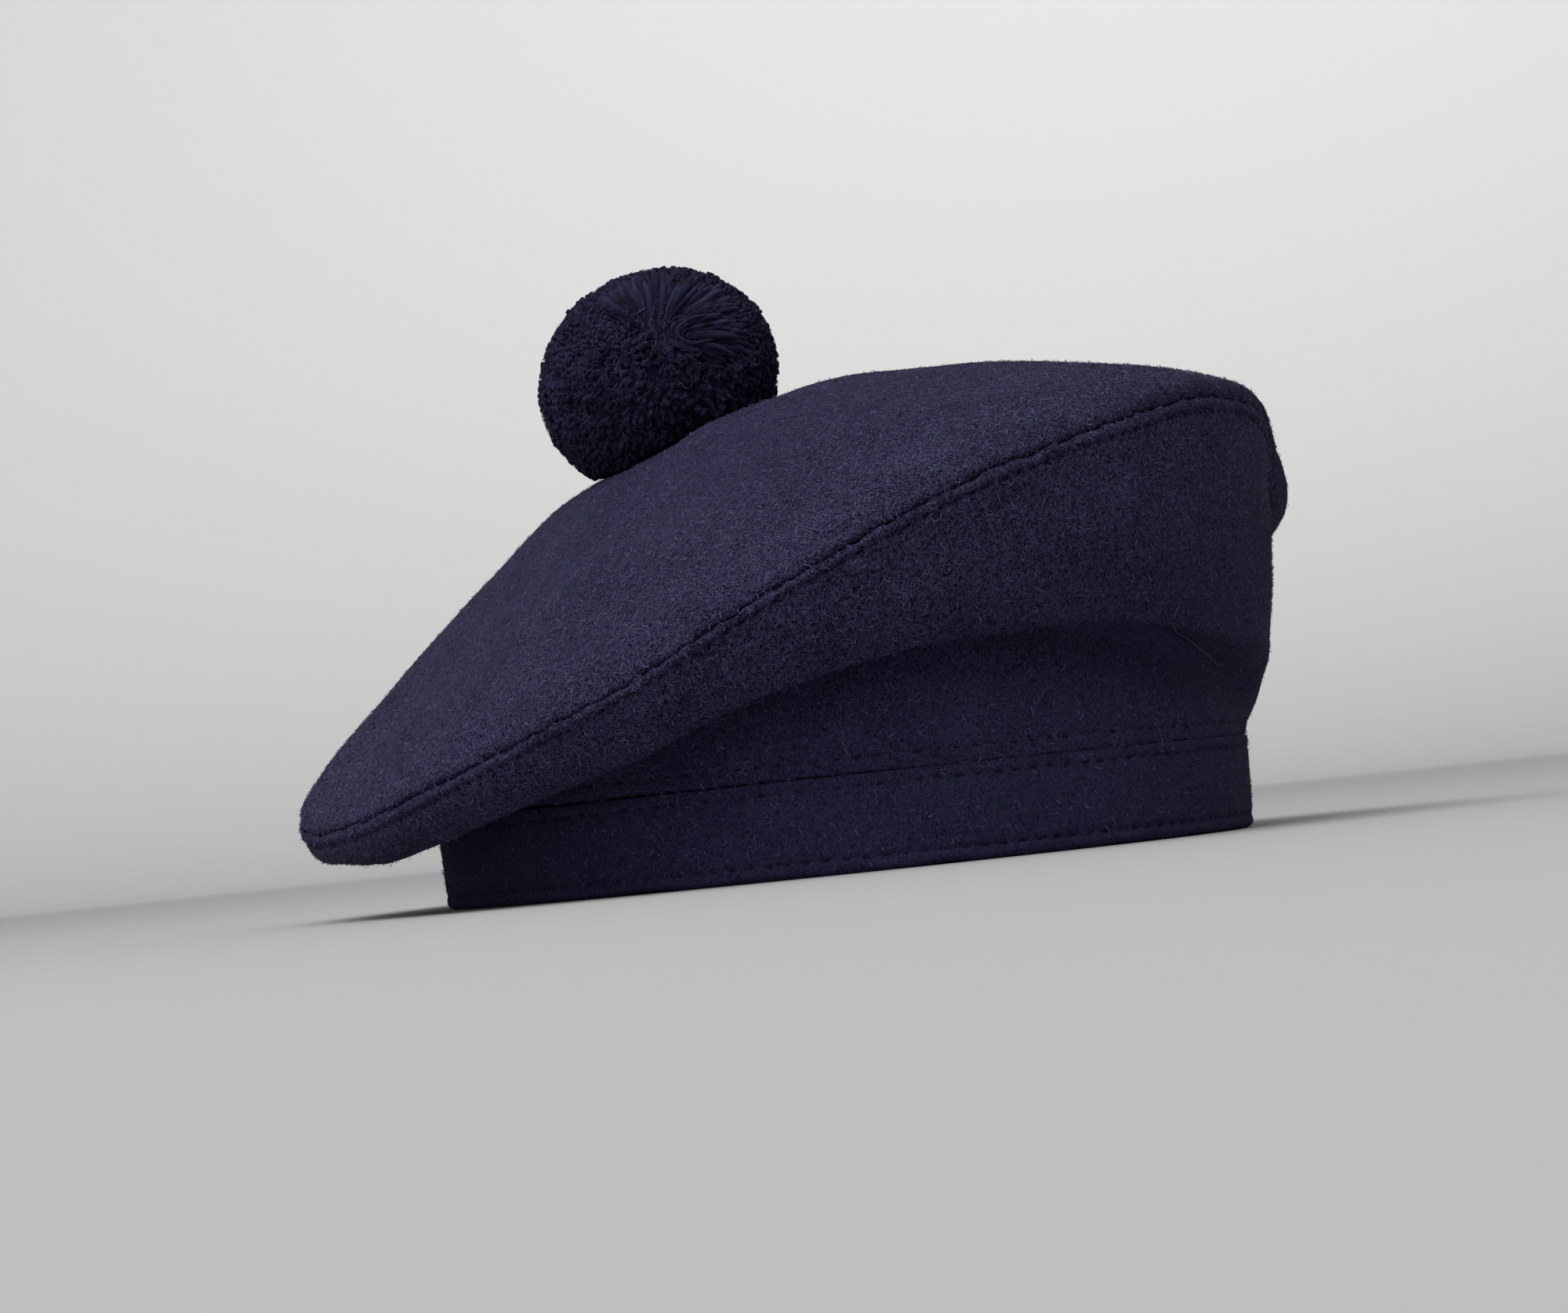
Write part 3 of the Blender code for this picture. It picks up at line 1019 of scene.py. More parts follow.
class NapGrower(NodeMaker):
    """Scatters short curled fibres over a mesh, as densely as its nap attribute says."""

    sizes = ("Density", "Shortest", "Longest", "Breadth", "Rise")
    counts = ("Seed",)

    def nodes(self, add: Adder, given: NodeOutputs) -> Node:
        """Scatter points and lay one of the curls on each, turned and sized at random."""
        share = add("GeometryNodeInputNamedAttribute", {"Name": "nap"}, data_type="FLOAT")
        density = add("ShaderNodeMath", {0: given["Density"], 1: share}, operation="MULTIPLY")
        spots = add(
            "GeometryNodeDistributePointsOnFaces",
            {"Mesh": given["Geometry"], "Density": density, "Seed": given["Seed"]},
            distribute_method="RANDOM",
        )
        sunk = add("ShaderNodeMath", {0: given["Rise"], 1: -1.0}, operation="MULTIPLY")
        turn = add(
            "ShaderNodeCombineXYZ",
            {"X": self.chance(add, sunk, given["Rise"], 1),
             "Y": self.chance(add, sunk, -0.02, 2), "Z": self.chance(add, 0.0, TURN, 3)},
        )
        laid = add("FunctionNodeEulerToRotation", {0: turn})
        faced = add(
            "FunctionNodeRotateRotation",
            {"Rotation": output(spots, "Rotation"), "Rotate By": laid},
            rotation_space="LOCAL",
        )
        pick = add(
            "FunctionNodeRandomValue",
            {"Min": 0, "Max": len(CURLS) - 1, "Seed": 4},
            data_type="INT",
        )
        stood = add(
            "GeometryNodeInstanceOnPoints",
            {"Points": spots, "Instance": self.curls(add, given["Breadth"]),
             "Pick Instance": True, "Instance Index": pick, "Rotation": faced,
             "Scale": self.chance(add, given["Shortest"], given["Longest"], 5)},
        )
        return add(
            "GeometryNodeStoreNamedAttribute",
            {"Geometry": stood, "Name": "tone", "Value": self.chance(add, 0.0, 1.0, 6)},
            data_type="FLOAT", domain="INSTANCE",
        )

    def chance(
        self,
        add: Adder,
        low: float | Node | NodeSocket,
        high: float | NodeSocket,
        seed: int,
    ) -> Node:
        """Return a random number between low and high for each fibre."""
        return add(
            "FunctionNodeRandomValue", {"Min": low, "Max": high, "Seed": seed}, data_type="FLOAT"
        )

    def curls(self, add: Adder, breadth: NodeSocket) -> Node:
        """Make the curls as narrow bands, each an instance of its own."""
        half = add("ShaderNodeMath", {0: breadth, 1: -0.5}, operation="MULTIPLY")
        side = add("ShaderNodeCombineXYZ", {"X": half})
        other = add("ShaderNodeVectorMath", {0: side, "Scale": -1.0}, operation="SCALE")
        across = add(
            "GeometryNodeCurvePrimitiveLine", {"Start": side, "End": other}, mode="POINTS"
        )
        singles = []
        for curl in CURLS:
            arc = add(
                "GeometryNodeCurveQuadraticBezier",
                {"Resolution": CURL_STEPS, "Start": CURL_ROOT, "Middle": curl.middle,
                 "End": curl.end},
            )
            band = add("GeometryNodeCurveToMesh", {"Curve": arc, "Profile Curve": across})
            singles.append(add("GeometryNodeGeometryToInstance", {"Geometry": band}))
        return add("GeometryNodeJoinGeometry", {"Geometry": singles})


class StitchSetter(NodeMaker):
    """Lays one thread stitch on each point of a row, along the row and facing outwards."""

    sizes = ("Length", "Dip", "Arch", "Thickness")

    def nodes(self, add: Adder, given: NodeOutputs) -> Node:
        """Turn the row into a curve and put an arched thread on each of its points."""
        row = add("GeometryNodeMeshToCurve", {"Mesh": given["Geometry"]})
        facing = add(
            "GeometryNodeInputNamedAttribute", {"Name": "facing"}, data_type="FLOAT_VECTOR"
        )
        tangent = add("GeometryNodeInputTangent")
        along = add("FunctionNodeAlignRotationToVector", {"Vector": tangent}, axis="X")
        turned = add(
            "FunctionNodeAlignRotationToVector",
            {"Rotation": along, "Vector": facing},
            axis="Z", pivot_axis="X",
        )
        ends = []
        for side in (-0.5, 0.5):
            reach = add("ShaderNodeMath", {0: given["Length"], 1: side}, operation="MULTIPLY")
            ends.append(add("ShaderNodeCombineXYZ", {"X": reach, "Z": given["Dip"]}))
        middle = add("ShaderNodeCombineXYZ", {"Z": given["Arch"]})
        arch = add(
            "GeometryNodeCurveQuadraticBezier",
            {"Resolution": 4, "Start": ends[0], "Middle": middle, "End": ends[1]},
        )
        ring = add(
            "GeometryNodeCurvePrimitiveCircle",
            {"Resolution": 5, "Radius": given["Thickness"]},
            mode="RADIUS",
        )
        thread = add(
            "GeometryNodeCurveToMesh", {"Curve": arch, "Profile Curve": ring, "Fill Caps": True}
        )
        return add(
            "GeometryNodeInstanceOnPoints", {"Points": row, "Instance": thread, "Rotation": turned}
        )


class YarnSpinner(NodeMaker):
    """Sweeps each strand's path into a tapered tube; the thick attribute is its radius."""

    counts = ("Sides",)

    def nodes(self, add: Adder, given: NodeOutputs) -> Node:
        """Turn the edges into curves, read their radius and sweep a ring along them."""
        paths = add("GeometryNodeMeshToCurve", {"Mesh": given["Geometry"]})
        thick = add("GeometryNodeInputNamedAttribute", {"Name": "thick"}, data_type="FLOAT")
        ring = add(
            "GeometryNodeCurvePrimitiveCircle",
            {"Resolution": given["Sides"], "Radius": 1.0},
            mode="RADIUS",
        )
        return add(
            "GeometryNodeCurveToMesh",
            {"Curve": paths, "Profile Curve": ring, "Scale": thick, "Fill Caps": True},
        )


# ---- The cloth pieces ----


@dataclass
class Dressing:
    """The finishes that all the pieces share, and the way that nap and stitches are added."""

    form: HatForm
    cloth: Material
    fibre: Material
    thread: Material
    yarn: Material
    fluff: Material
    shortest: float = 0.5
    longest: float = 1.45
    breadth: float = 0.15  # of a fibre 1 mm long
    rise: float = 0.24
    stitch_share: float = 0.62  # of the pitch
    stitch_dip: float = -0.4
    stitch_arch: float = 0.36
    thread_radius: float = 0.25

    def grown(
        self,
        ground: Mesh,
        name: str,
        per_square_mm: float,
        seed: int,
        material: Material,
    ) -> Mesh:
        """Grow loose fibres on a mesh.

        Args:
            ground: the mesh, whose nap attribute says where they are dense.
            name: the result's name.
            per_square_mm: how many of them lie on a square millimetre.
            seed: fixes where they lie.
            material: their finish.

        Returns:
            The fibres as a mesh.
        """
        values = {
            "Density": per_square_mm / MM**2,
            "Shortest": self.shortest * MM,
            "Longest": self.longest * MM,
            "Breadth": self.breadth,
            "Rise": self.rise,
            "Seed": seed,
            "Material": material,
        }
        return NapGrower(name).apply(ground, values)

    def stitches(self, name: str, row: StitchRow) -> Mesh:
        """Sew one closed row of stitches and return all the thread that shows."""
        ring = np.arange(len(row.middles))
        mesh = line_mesh(name, row.middles, np.stack([ring, np.roll(ring, -1)], axis=1))
        give(mesh, "facing", row.facing)
        values = {
            "Length": self.stitch_share * row.pitch() * MM,
            "Dip": self.stitch_dip * MM,
            "Arch": self.stitch_arch * MM,
            "Thickness": self.thread_radius * MM,
            "Material": self.thread,
        }
        return to_frame(StitchSetter(name).apply(mesh, values), self.form)

    def cloth_piece(
        self,
        name: str,
        mesh: Mesh,
        rows: Sequence[StitchRow],
        per_square_mm: float,
        seed: int,
    ) -> list[Object]:
        """Finish one piece of cloth.

        Args:
            name: its name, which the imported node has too.
            mesh: the cloth.
            rows: its rows of stitches, if it has any.
            per_square_mm: how many loose fibres lie on a square millimetre.
            seed: fixes where they lie.

        Returns:
            The cloth, then its stitches and its nap as pieces of their own.
        """
        pieces = [add_piece(name, mesh, self.cloth, [name])]
        if rows:
            threads = [self.stitches(f"{name}_row", row) for row in rows]
            sewn = joined(f"{name}_rows", threads)
            pieces.append(add_piece(f"{name}_stitches", sewn, self.thread))
        nap = self.grown(mesh.copy(), f"{name}_nap", per_square_mm, seed, self.fibre)
        pieces.append(add_piece(f"{name}_nap", nap, self.fibre))
        return pieces


@dataclass
class StitchRow:
    """A closed row of stitches: the middle of each, and the way that the cloth faces there."""

    lift: ClassVar[float] = 0.06  # how far the thread's middle lies above the cloth
    slack: ClassVar[Ripple] = Ripple(0.2, 3.0, 29.0)  # give or take this

    middles: Array
    facing: Array

    @classmethod
    def on(cls, line: Array, facing: Array, stitches: int) -> StitchRow:
        """Pick the middles of the stitches from a line of points on the cloth.

        Args:
            line: points round the row, the first of them in a needle hole.
            facing: the cloth's normals there.
            stitches: how many stitches the row has.

        Returns:
            The row.
        """
        per = len(line) // stitches
        middles, ways = line[per // 2 :: per], facing[per // 2 :: per]
        height = cls.lift + cls.slack.at(middles)
        return cls(middles + ways * height[:, None], ways)

    def pitch(self) -> float:
        """The length of one stitch with its gap."""
        ring = np.concatenate([self.middles, self.middles[:1]])
        return float(lengths_along(ring[None])[0, -1] / len(self.middles))


def joined(name: str, meshes: Sequence[Mesh]) -> Mesh:
    """Join several meshes into one."""
    points: list[Array] = []
    faces: list[list[int]] = []
    start = 0
    for mesh in meshes:
        places = np.empty(3 * len(mesh.vertices), np.float32)
        mesh.vertices.foreach_get("co", places)
        points.append(places.reshape(-1, 3) / MM)
        faces += [[start + v for v in face.vertices] for face in mesh.polygons]
        start += len(mesh.vertices)
    return mesh_of(name, np.concatenate(points), faces)


def spread(near: Sequence[float], length: Array, far: Sequence[float], middle: int) -> Array:
    """Places along lines of different length, fixed near both ends and even in between.

    Args:
        near: lengths from the start, rising.
        length: each line's whole length.
        far: lengths from the end, falling.
        middle: how many places lie between them.

    Returns:
        Lengths from the start, shape (lines, places).
    """
    rows = len(length)
    first = np.broadcast_to(np.array(near), (rows, len(near)))
    last = length[:, None] - np.array(far)
    share = np.arange(1, middle + 1) / (middle + 1)
    between = first[:, -1:] + (last[:, :1] - first[:, -1:]) * share
    return np.concatenate([first, between, last], axis=1)


def phases(columns: int, stitches: int) -> Array:
    """How far each column is along its stitch: 0 in a needle hole, 0.5 halfway."""
    return np.mod(np.arange(columns) * stitches / columns, 1.0)[:, None]


@dataclass(frozen=True)
class SeamStyle:
    """How cloth behaves along a sewn edge: rolled over, puffed, and drawn in at the stitches."""

    roll: float = 2.2  # breadth of the turned edge
    depth: float = 1.6  # and how far it goes down
    broken: Ripple = Ripple(0.55, 2.4, 23.0)  # share by which that depth varies along the seam
    puff: float = 0.35  # how far the cloth stands proud beside the seam
    puff_at: float = 1.9
    puff_width: float = 1.0
    pinch: float = 0.35  # share by which each stitch deepens the edge and flattens the puff
    tension: Ripple = Ripple(0.45, 2.5, 17.0)  # how unevenly the stitches pull
    tension_limits: tuple[float, float] = (0.35, 1.6)
    row_at: float = 3.1  # distance of the stitch row from the edge, 0 for none
    channel: float = 0.8  # depth of the dimple that a stitch presses in
    channel_width: float = 0.55
    between: float = 0.2  # share of that depth that is left between two stitches
    bare: float = 0.7  # share of the nap that the stitches flatten
    bare_width: float = 1.5  # in widths of the dimple
    edge_nap: float = 0.5  # share of it that still grows at the very edge
    edge_fade: tuple[float, float] = (0.2, 1.2)  # where it becomes the whole
    far_nap: float = 1.0  # and far from the seam, where hands have smoothed the cloth
    nap_reach: float = 30.0
    far_grain: float = 0.0  # share of the grain, and of its painted shade, left far from the seam
    grain_reach: float = 30.0
    pucker: Ripple = Ripple(0.3, 6.0, 3.1)  # the small waves across the seam
    pucker_reach: float = 5.0
    crimp: Ripple = Ripple(0.16, 1.1, 8.3)  # the finest wrinkles, at the very edge
    crimp_reach: float = 1.8

    def height(self, away: Array, phase: Array, line: Array) -> Array:
        """Height of the outer face over its plain form.

        Args:
            away: distance from the sewn edge.
            phase: how far along its stitch each column is.
            line: the point of the edge that each point belongs to.

        Returns:
            The height at each point.
        """
        press = 0.5 - 0.5 * np.cos(TURN * phase)
        press = press * np.clip(1 + self.tension.at(line), *self.tension_limits)
        over = np.clip(self.roll - away, 0.0, self.roll)
        depth = self.depth * (1 + self.broken.at(line)) / self.roll
        rolled = depth * (self.roll - np.sqrt(self.roll**2 - over**2))
        puff = self.puff * bump_at(away, self.puff_at, self.puff_width)
        height = puff * (1 - self.pinch * press) - rolled * (1 + self.pinch * (press - 0.5))
        height += self.pucker.at(line) * np.exp(-away / self.pucker_reach)
        height += self.crimp.at(line) * np.exp(-away / self.crimp_reach)
        if self.row_at:
            dimple = self.channel * (self.between + press)
            height -= dimple * bump_at(away, self.row_at, self.channel_width)
        return height

    def flattened(self, away: Array) -> Array:
        """Share of the usual nap that the stitches flatten at each distance from the edge."""
        return self.bare * bump_at(away, self.row_at, self.bare_width * self.channel_width)

    def row(self, face: Array, normals: Array, away: Array, stitches: int) -> StitchRow:
        """The row of stitches.

        Args:
            face: the grid of the outer face.
            normals: its normals.
            away: distance from the sewn edge.
            stitches: how many stitches the row has.

        Returns:
            The row, where the face is nearest to it.
        """
        k = int(np.argmin(np.abs(away[0] - self.row_at)))
        return StitchRow.on(face[:, k], normals[:, k], stitches)

    def nap(self, away: Array) -> Array:
        """Share of the usual nap at each distance from the edge."""
        share = self.edge_nap + (1 - self.edge_nap) * smoothstep(away, *self.edge_fade)
        if self.row_at:
            share -= self.flattened(away)
        return share * (self.far_nap + (1 - self.far_nap) * bump_at(away, 0.0, self.nap_reach))

    def grain(self, away: Array) -> Array:
        """Share of the cloth's full grain, and of the painted shade that goes with it, at each
        distance from the edge.
        """
        return self.far_grain + (1 - self.far_grain) * bump_at(away, 0.0, self.grain_reach)


ROW_STEPS = (
    0.0, 0.12, 0.3, 0.55, 0.85, 1.25, 1.75, 2.3, 2.65, 2.9, 3.1, 3.3, 3.55, 3.9, 4.5, 5.5, 7.0,
)
PLAIN_STEPS = (0.0, 0.12, 0.3, 0.55, 0.85, 1.25, 1.75, 2.4, 3.2, 4.2, 5.5, 7.2, 9.5, 12.5)


def thinned(grid: Array, factors: Sequence[int]) -> list[Array]:
    """Rings of a grid, each with one column in so many."""
    return [grid[::factor, k] for k, factor in enumerate(factors)]


def read_round(values: Array, table: Array, angles: Array) -> Array:
    """Read values that are known at the table's bearings at other bearings."""
    return np.interp(np.mod(angles, TURN), np.append(table, TURN), np.append(values, values[0]))


def overlap_edge(face: Array, end: int, reach: float) -> None:
    """Push one edge of a grid out along its surface, so that it meets its neighbour.

    Args:
        face: the grid, changed in place.
        end: 0 for the first ring, -1 for the last.
        reach: how far.
    """
    inner = 1 if end == 0 else -2
    face[:, end] += reach * unit(face[:, end] - face[:, inner])


@dataclass
class CrownSide:
    """The side piece, from the headband over its fold to the outer seam, with its stitches."""

    form: HatForm
    columns: int = 1200
    seam_stitches: int = 200
    band_stitches: int = 150
    middle: int = 44
    trim: float = 0.1
    sink: float = 0.45  # the nap stands this far over the cloth
    outer_seam: SeamStyle = SeamStyle(
        far_nap=0.36, nap_reach=28.0, far_grain=0.06, grain_reach=30.0,
    )
    band_seam: SeamStyle = SeamStyle(
        roll=1.6, depth=0.3, puff=0.08, pinch=0.6, row_at=2.7, edge_nap=0.9, channel=0.5,
    )
    band_overlap: float = 1.0
    overlap: float = 0.4
    fine_edge: float = 5.0  # breadth of the edges that have all the columns
    hem: float = 1.9  # extra thickness of the turned-in edges on the inside
    hem_start: float = 1.2  # it has its whole thickness this far from the edge
    hem_width: float = 9.0
    hem_end: float = 1.4  # and thins out over this breadth
    easings: int = 6
    columns_turn: tuple[float, float] = (0.15, 0.85)  # where they pass from band to seam spacing
    wave: Ripple = Ripple(0.55, 26.0, 5.3)  # soft unevenness of the hand-finished cloth
    wave_from: tuple[float, float] = (2.0, 12.0)  # distances from the seams where it sets in
    ripple: Ripple = Ripple(0.1375, 9.0, 1.3)
    nap_density: float = 1.0
    nap_seed: int = 11

    def bearings(self) -> tuple[Array, Array]:
        """Bearings that are evenly spaced along the headband and along the outer seam."""
        form = self.form
        return tuple(even_bearings(line, self.columns) for line in (form.band_line, form.seam_line))

    def surface(self) -> tuple[Array, Array, Array]:
        """The plain outer face.

        Returns:
            The grid of points, and at each the distance from the band seam and from the outer
            seam, each of shape (columns, places).
        """
        form = self.form
        table = form.table()
        lines = form.side_lines(table)
        whole = lengths_along(lines)[:, -1]
        near = [step + self.trim for step in ROW_STEPS]
        places = spread(near, whole, near[::-1], self.middle)
        dense = at_lengths(lines, places)
        band, seam = self.bearings()
        share = smoothstep(np.linspace(0, 1, places.shape[1]), *self.columns_turn)
        angles = band[:, None] * (1 - share) + seam[:, None] * share
        grid = np.empty((*angles.shape, 3))
        from_band = np.empty(angles.shape)
        from_seam = np.empty(angles.shape)
        for k in range(places.shape[1]):
            radius = np.linalg.norm(dense[:, k, :2], axis=1)
            reads = (radius, dense[:, k, 2], places[:, k], whole - places[:, k])
            read = [read_round(values, table, angles[:, k]) for values in reads]
            grid[:, k] = form.placed(angles[:, k], read[0], read[1])
            from_band[:, k] = read[2] - self.trim
            from_seam[:, k] = read[3] - self.trim
        return grid, from_band, from_seam

    def build(self, shared: SharedEdge) -> tuple[Mesh, list[StitchRow]]:
        """Build the cloth.

        Args:
            shared: what this piece and the top have in common along the outer seam.

        Returns:
            The mesh and its rows of stitches.
        """
        grid, from_band, from_seam = self.surface()
        normals = shared.eased(grid_normals(grid), from_seam)
        height = self.outer_seam.height(
            from_seam, phases(self.columns, self.seam_stitches), grid[:, -1:]
        )
        height += self.band_seam.height(
            from_band, phases(self.columns, self.band_stitches), grid[:, :1]
        )
        edge = np.minimum(from_band, from_seam)
        height += smoothstep(edge, *self.wave_from) * self.wave.at(grid) - self.sink
        height += self.ripple.at(grid)
        outer = grid + normals * height[..., None] + shared.shifts(from_seam)
        rows = [
            self.outer_seam.row(outer, normals, from_seam, self.seam_stitches),
            self.band_seam.row(outer, normals, from_band, self.band_stitches),
        ]
        inner = self.inside(grid, normals, edge)
        for face in (outer, inner):
            overlap_edge(face, 0, self.band_overlap)
            overlap_edge(face, -1, self.overlap)
        fine = edge.mean(axis=0) < self.fine_edge
        outer_rings = thinned(outer, [1 if near else 2 for near in fine])
        inner_rings = thinned(inner, [2] + [4] * (inner.shape[1] - 2) + [2])[::-1]
        nap = np.minimum(self.outer_seam.nap(from_seam), self.band_seam.nap(from_band))
        grain = self.outer_seam.grain(from_seam).mean(axis=0)
        mesh = shell(
            "crown_side", outer_rings + inner_rings, True, nap.mean(axis=0)[:-1], grain[:-1]
        )
        return to_frame(mesh, self.form), rows

    def inside(self, grid: Array, normals: Array, edge: Array) -> Array:
        """The inner face: one layer in, and more where the edges are turned in and sewn."""
        ending = 1 - smoothstep(edge, self.hem_width - self.hem_end, self.hem_width)
        hem = self.hem * smoothstep(edge, 0.0, self.hem_start) * ending
        thick = self.form.cloth + self.sink + hem
        face = grid - normals * thick[..., None]
        last = grid.shape[1] - 1
        face = face[:, [k for k in range(last) if k % 2 == 0] + [last]]
        for _ in range(self.easings):  # eases the crowding where the cloth bends towards this side
            face[:, 2:-2] = 0.5 * face[:, 2:-2] + 0.25 * (face[:, 1:-3] + face[:, 3:-1])
        return face

    def dress(self, dressing: Dressing, shared: SharedEdge) -> list[Object]:
        """Make the finished piece with its stitches and nap."""
        return dressing.cloth_piece(
            "crown_side", *self.build(shared), self.nap_density, self.nap_seed
        )


@dataclass
class CrownTop:
    """The round top, domed over the seam and level towards the pompom."""

    form: HatForm
    side: CrownSide
    # far_grain here also spreads some painted shade over the whole top
    seam: SeamStyle = SeamStyle(
        roll=1.8, depth=1.5, puff=0.3, puff_at=2.6, puff_width=1.8, row_at=0.0,
        pucker_reach=6.5, far_nap=0.28, nap_reach=32.0, far_grain=0.25, grain_reach=36.0,
    )
    trim: float = 0.1
    sink: float = 0.45
    overlap: float = 0.3
    middle: int = 40
    last_rings: tuple[float, ...] = (6.0, 3.0, 1.2)  # their distances from the centre
    wave: Ripple = Ripple(0.7, 34.0, 2.3)
    wave_from: tuple[float, float] = (3.0, 18.0)  # distances from the seam where it sets in
    ripple: Ripple = Ripple(0.14, 10.0, 7.7)
    calm: float = 24.0  # radius in which both die down towards the centre
    nap_density: float = 1.15
    nap_seed: int = 23
    coarser_from: tuple[float, ...] = (5.0, 40.0, 80.0, 106.0)  # halves the columns

    def surface(self) -> tuple[Array, Array]:
        """The plain outer face and each point's distance from the seam."""
        form = self.form
        table = form.table()
        lines = form.top_lines(table)
        whole = lengths_along(lines)[:, -1]
        near = [step + self.trim for step in PLAIN_STEPS]
        places = spread(near, whole, self.last_rings, self.middle)
        dense = at_lengths(lines, places)
        _, angles = self.side.bearings()
        grid = np.empty((len(angles), places.shape[1], 3))
        away = np.empty(grid.shape[:2])
        for k in range(places.shape[1]):
            for axis in range(3):
                grid[:, k, axis] = read_round(dense[:, k, axis], table, angles)
            away[:, k] = read_round(places[:, k], table, angles)
        return grid, away - self.trim

    def build(self, shared: SharedEdge) -> Mesh:
        """Build the cloth of the top.

        Args:
            shared: what this piece and the side piece have in common along the outer seam.

        Returns:
            The mesh.
        """
        form = self.form
        grid, away = self.surface()
        normals = shared.eased(grid_normals(grid), away)
        height = self.seam.height(away, phases(len(grid), self.side.seam_stitches), grid[:, :1])
        height += smoothstep(away, *self.wave_from) * self.wave.at(grid) - self.sink
        height += self.ripple.at(grid)
        centre = np.array(form.crown_centre)
        height *= smoothstep(np.linalg.norm(grid - centre, axis=2), 0.0, self.calm)
        outer = grid + normals * height[..., None] + shared.shifts(away)
        inner = (grid - normals * (form.cloth + self.sink))[:, ::2]
        overlap_edge(outer, 0, self.overlap)
        overlap_edge(inner, 0, self.overlap)
        factors = [2 ** sum(far > edge for edge in self.coarser_from) for far in away.mean(axis=0)]
        inner_factors = [max(2, min(4 * factor, 16)) for factor in factors[::2]]
        inner_factors[0] = 2
        low = centre - (form.cloth + self.sink) * unit(normals[:, -1].mean(axis=0))
        outer_rings = thinned(outer, factors) + [centre[None]]
        inner_rings = [low[None]] + thinned(inner, inner_factors)[::-1]
        nap = self.seam.nap(away).mean(axis=0)
        grain = self.seam.grain(away).mean(axis=0)
        mesh = shell("crown_top", outer_rings + inner_rings, True, nap, grain)
        return to_frame(mesh, form)

    def dress(self, dressing: Dressing, shared: SharedEdge) -> list[Object]:
        """Make the finished piece with its nap."""
        mesh = self.build(shared)
        return dressing.cloth_piece("crown_top", mesh, [], self.nap_density, self.nap_seed)


@dataclass
class SharedEdge:
    """What the two pieces that meet at the outer seam have in common there."""

    strays: ClassVar[tuple[Ripple, ...]] = (Ripple(0.32, 2.8, 61.0), Ripple(0.16, 1.2, 67.0))

    normals: Array  # halfway between the two pieces, shape (columns, 3)
    wander: Array  # how far the sewn line strays from its even course, of the same shape
    reach: float = 1.7  # distance at which the cloth no longer follows it
    easing: float = 3.5  # distance at which the cloth has its own normals

    @classmethod
    def between(cls, side: CrownSide, top: CrownTop) -> SharedEdge:
        """Work out the edge of two pieces, the one under the seam and the one over it."""
        side_grid, _, _ = side.surface()
        top_grid, _ = top.surface()
        normals = unit(grid_normals(side_grid)[:, -3] + grid_normals(top_grid)[:, 2])
        line = side_grid[:, -1]
        across = unit(np.cross(normals, np.roll(line, -1, axis=0) - np.roll(line, 1, axis=0)))
        amount = sum(ripple.at(line) for ripple in cls.strays)
        return cls(normals, across * amount[:, None])

    def eased(self, normals: Array, away: Array) -> Array:
        """The cloth's normals, turned to those of the edge near it."""
        blend = smoothstep(away, 0.0, self.easing)[..., None]
        return unit(self.normals[:, None] * (1 - blend) + normals * blend)

    def shifts(self, away: Array) -> Array:
        """How far each point at these distances from the edge moves with it."""
        return self.wander[:, None] * bump_at(away, 0.0, self.reach)[..., None]


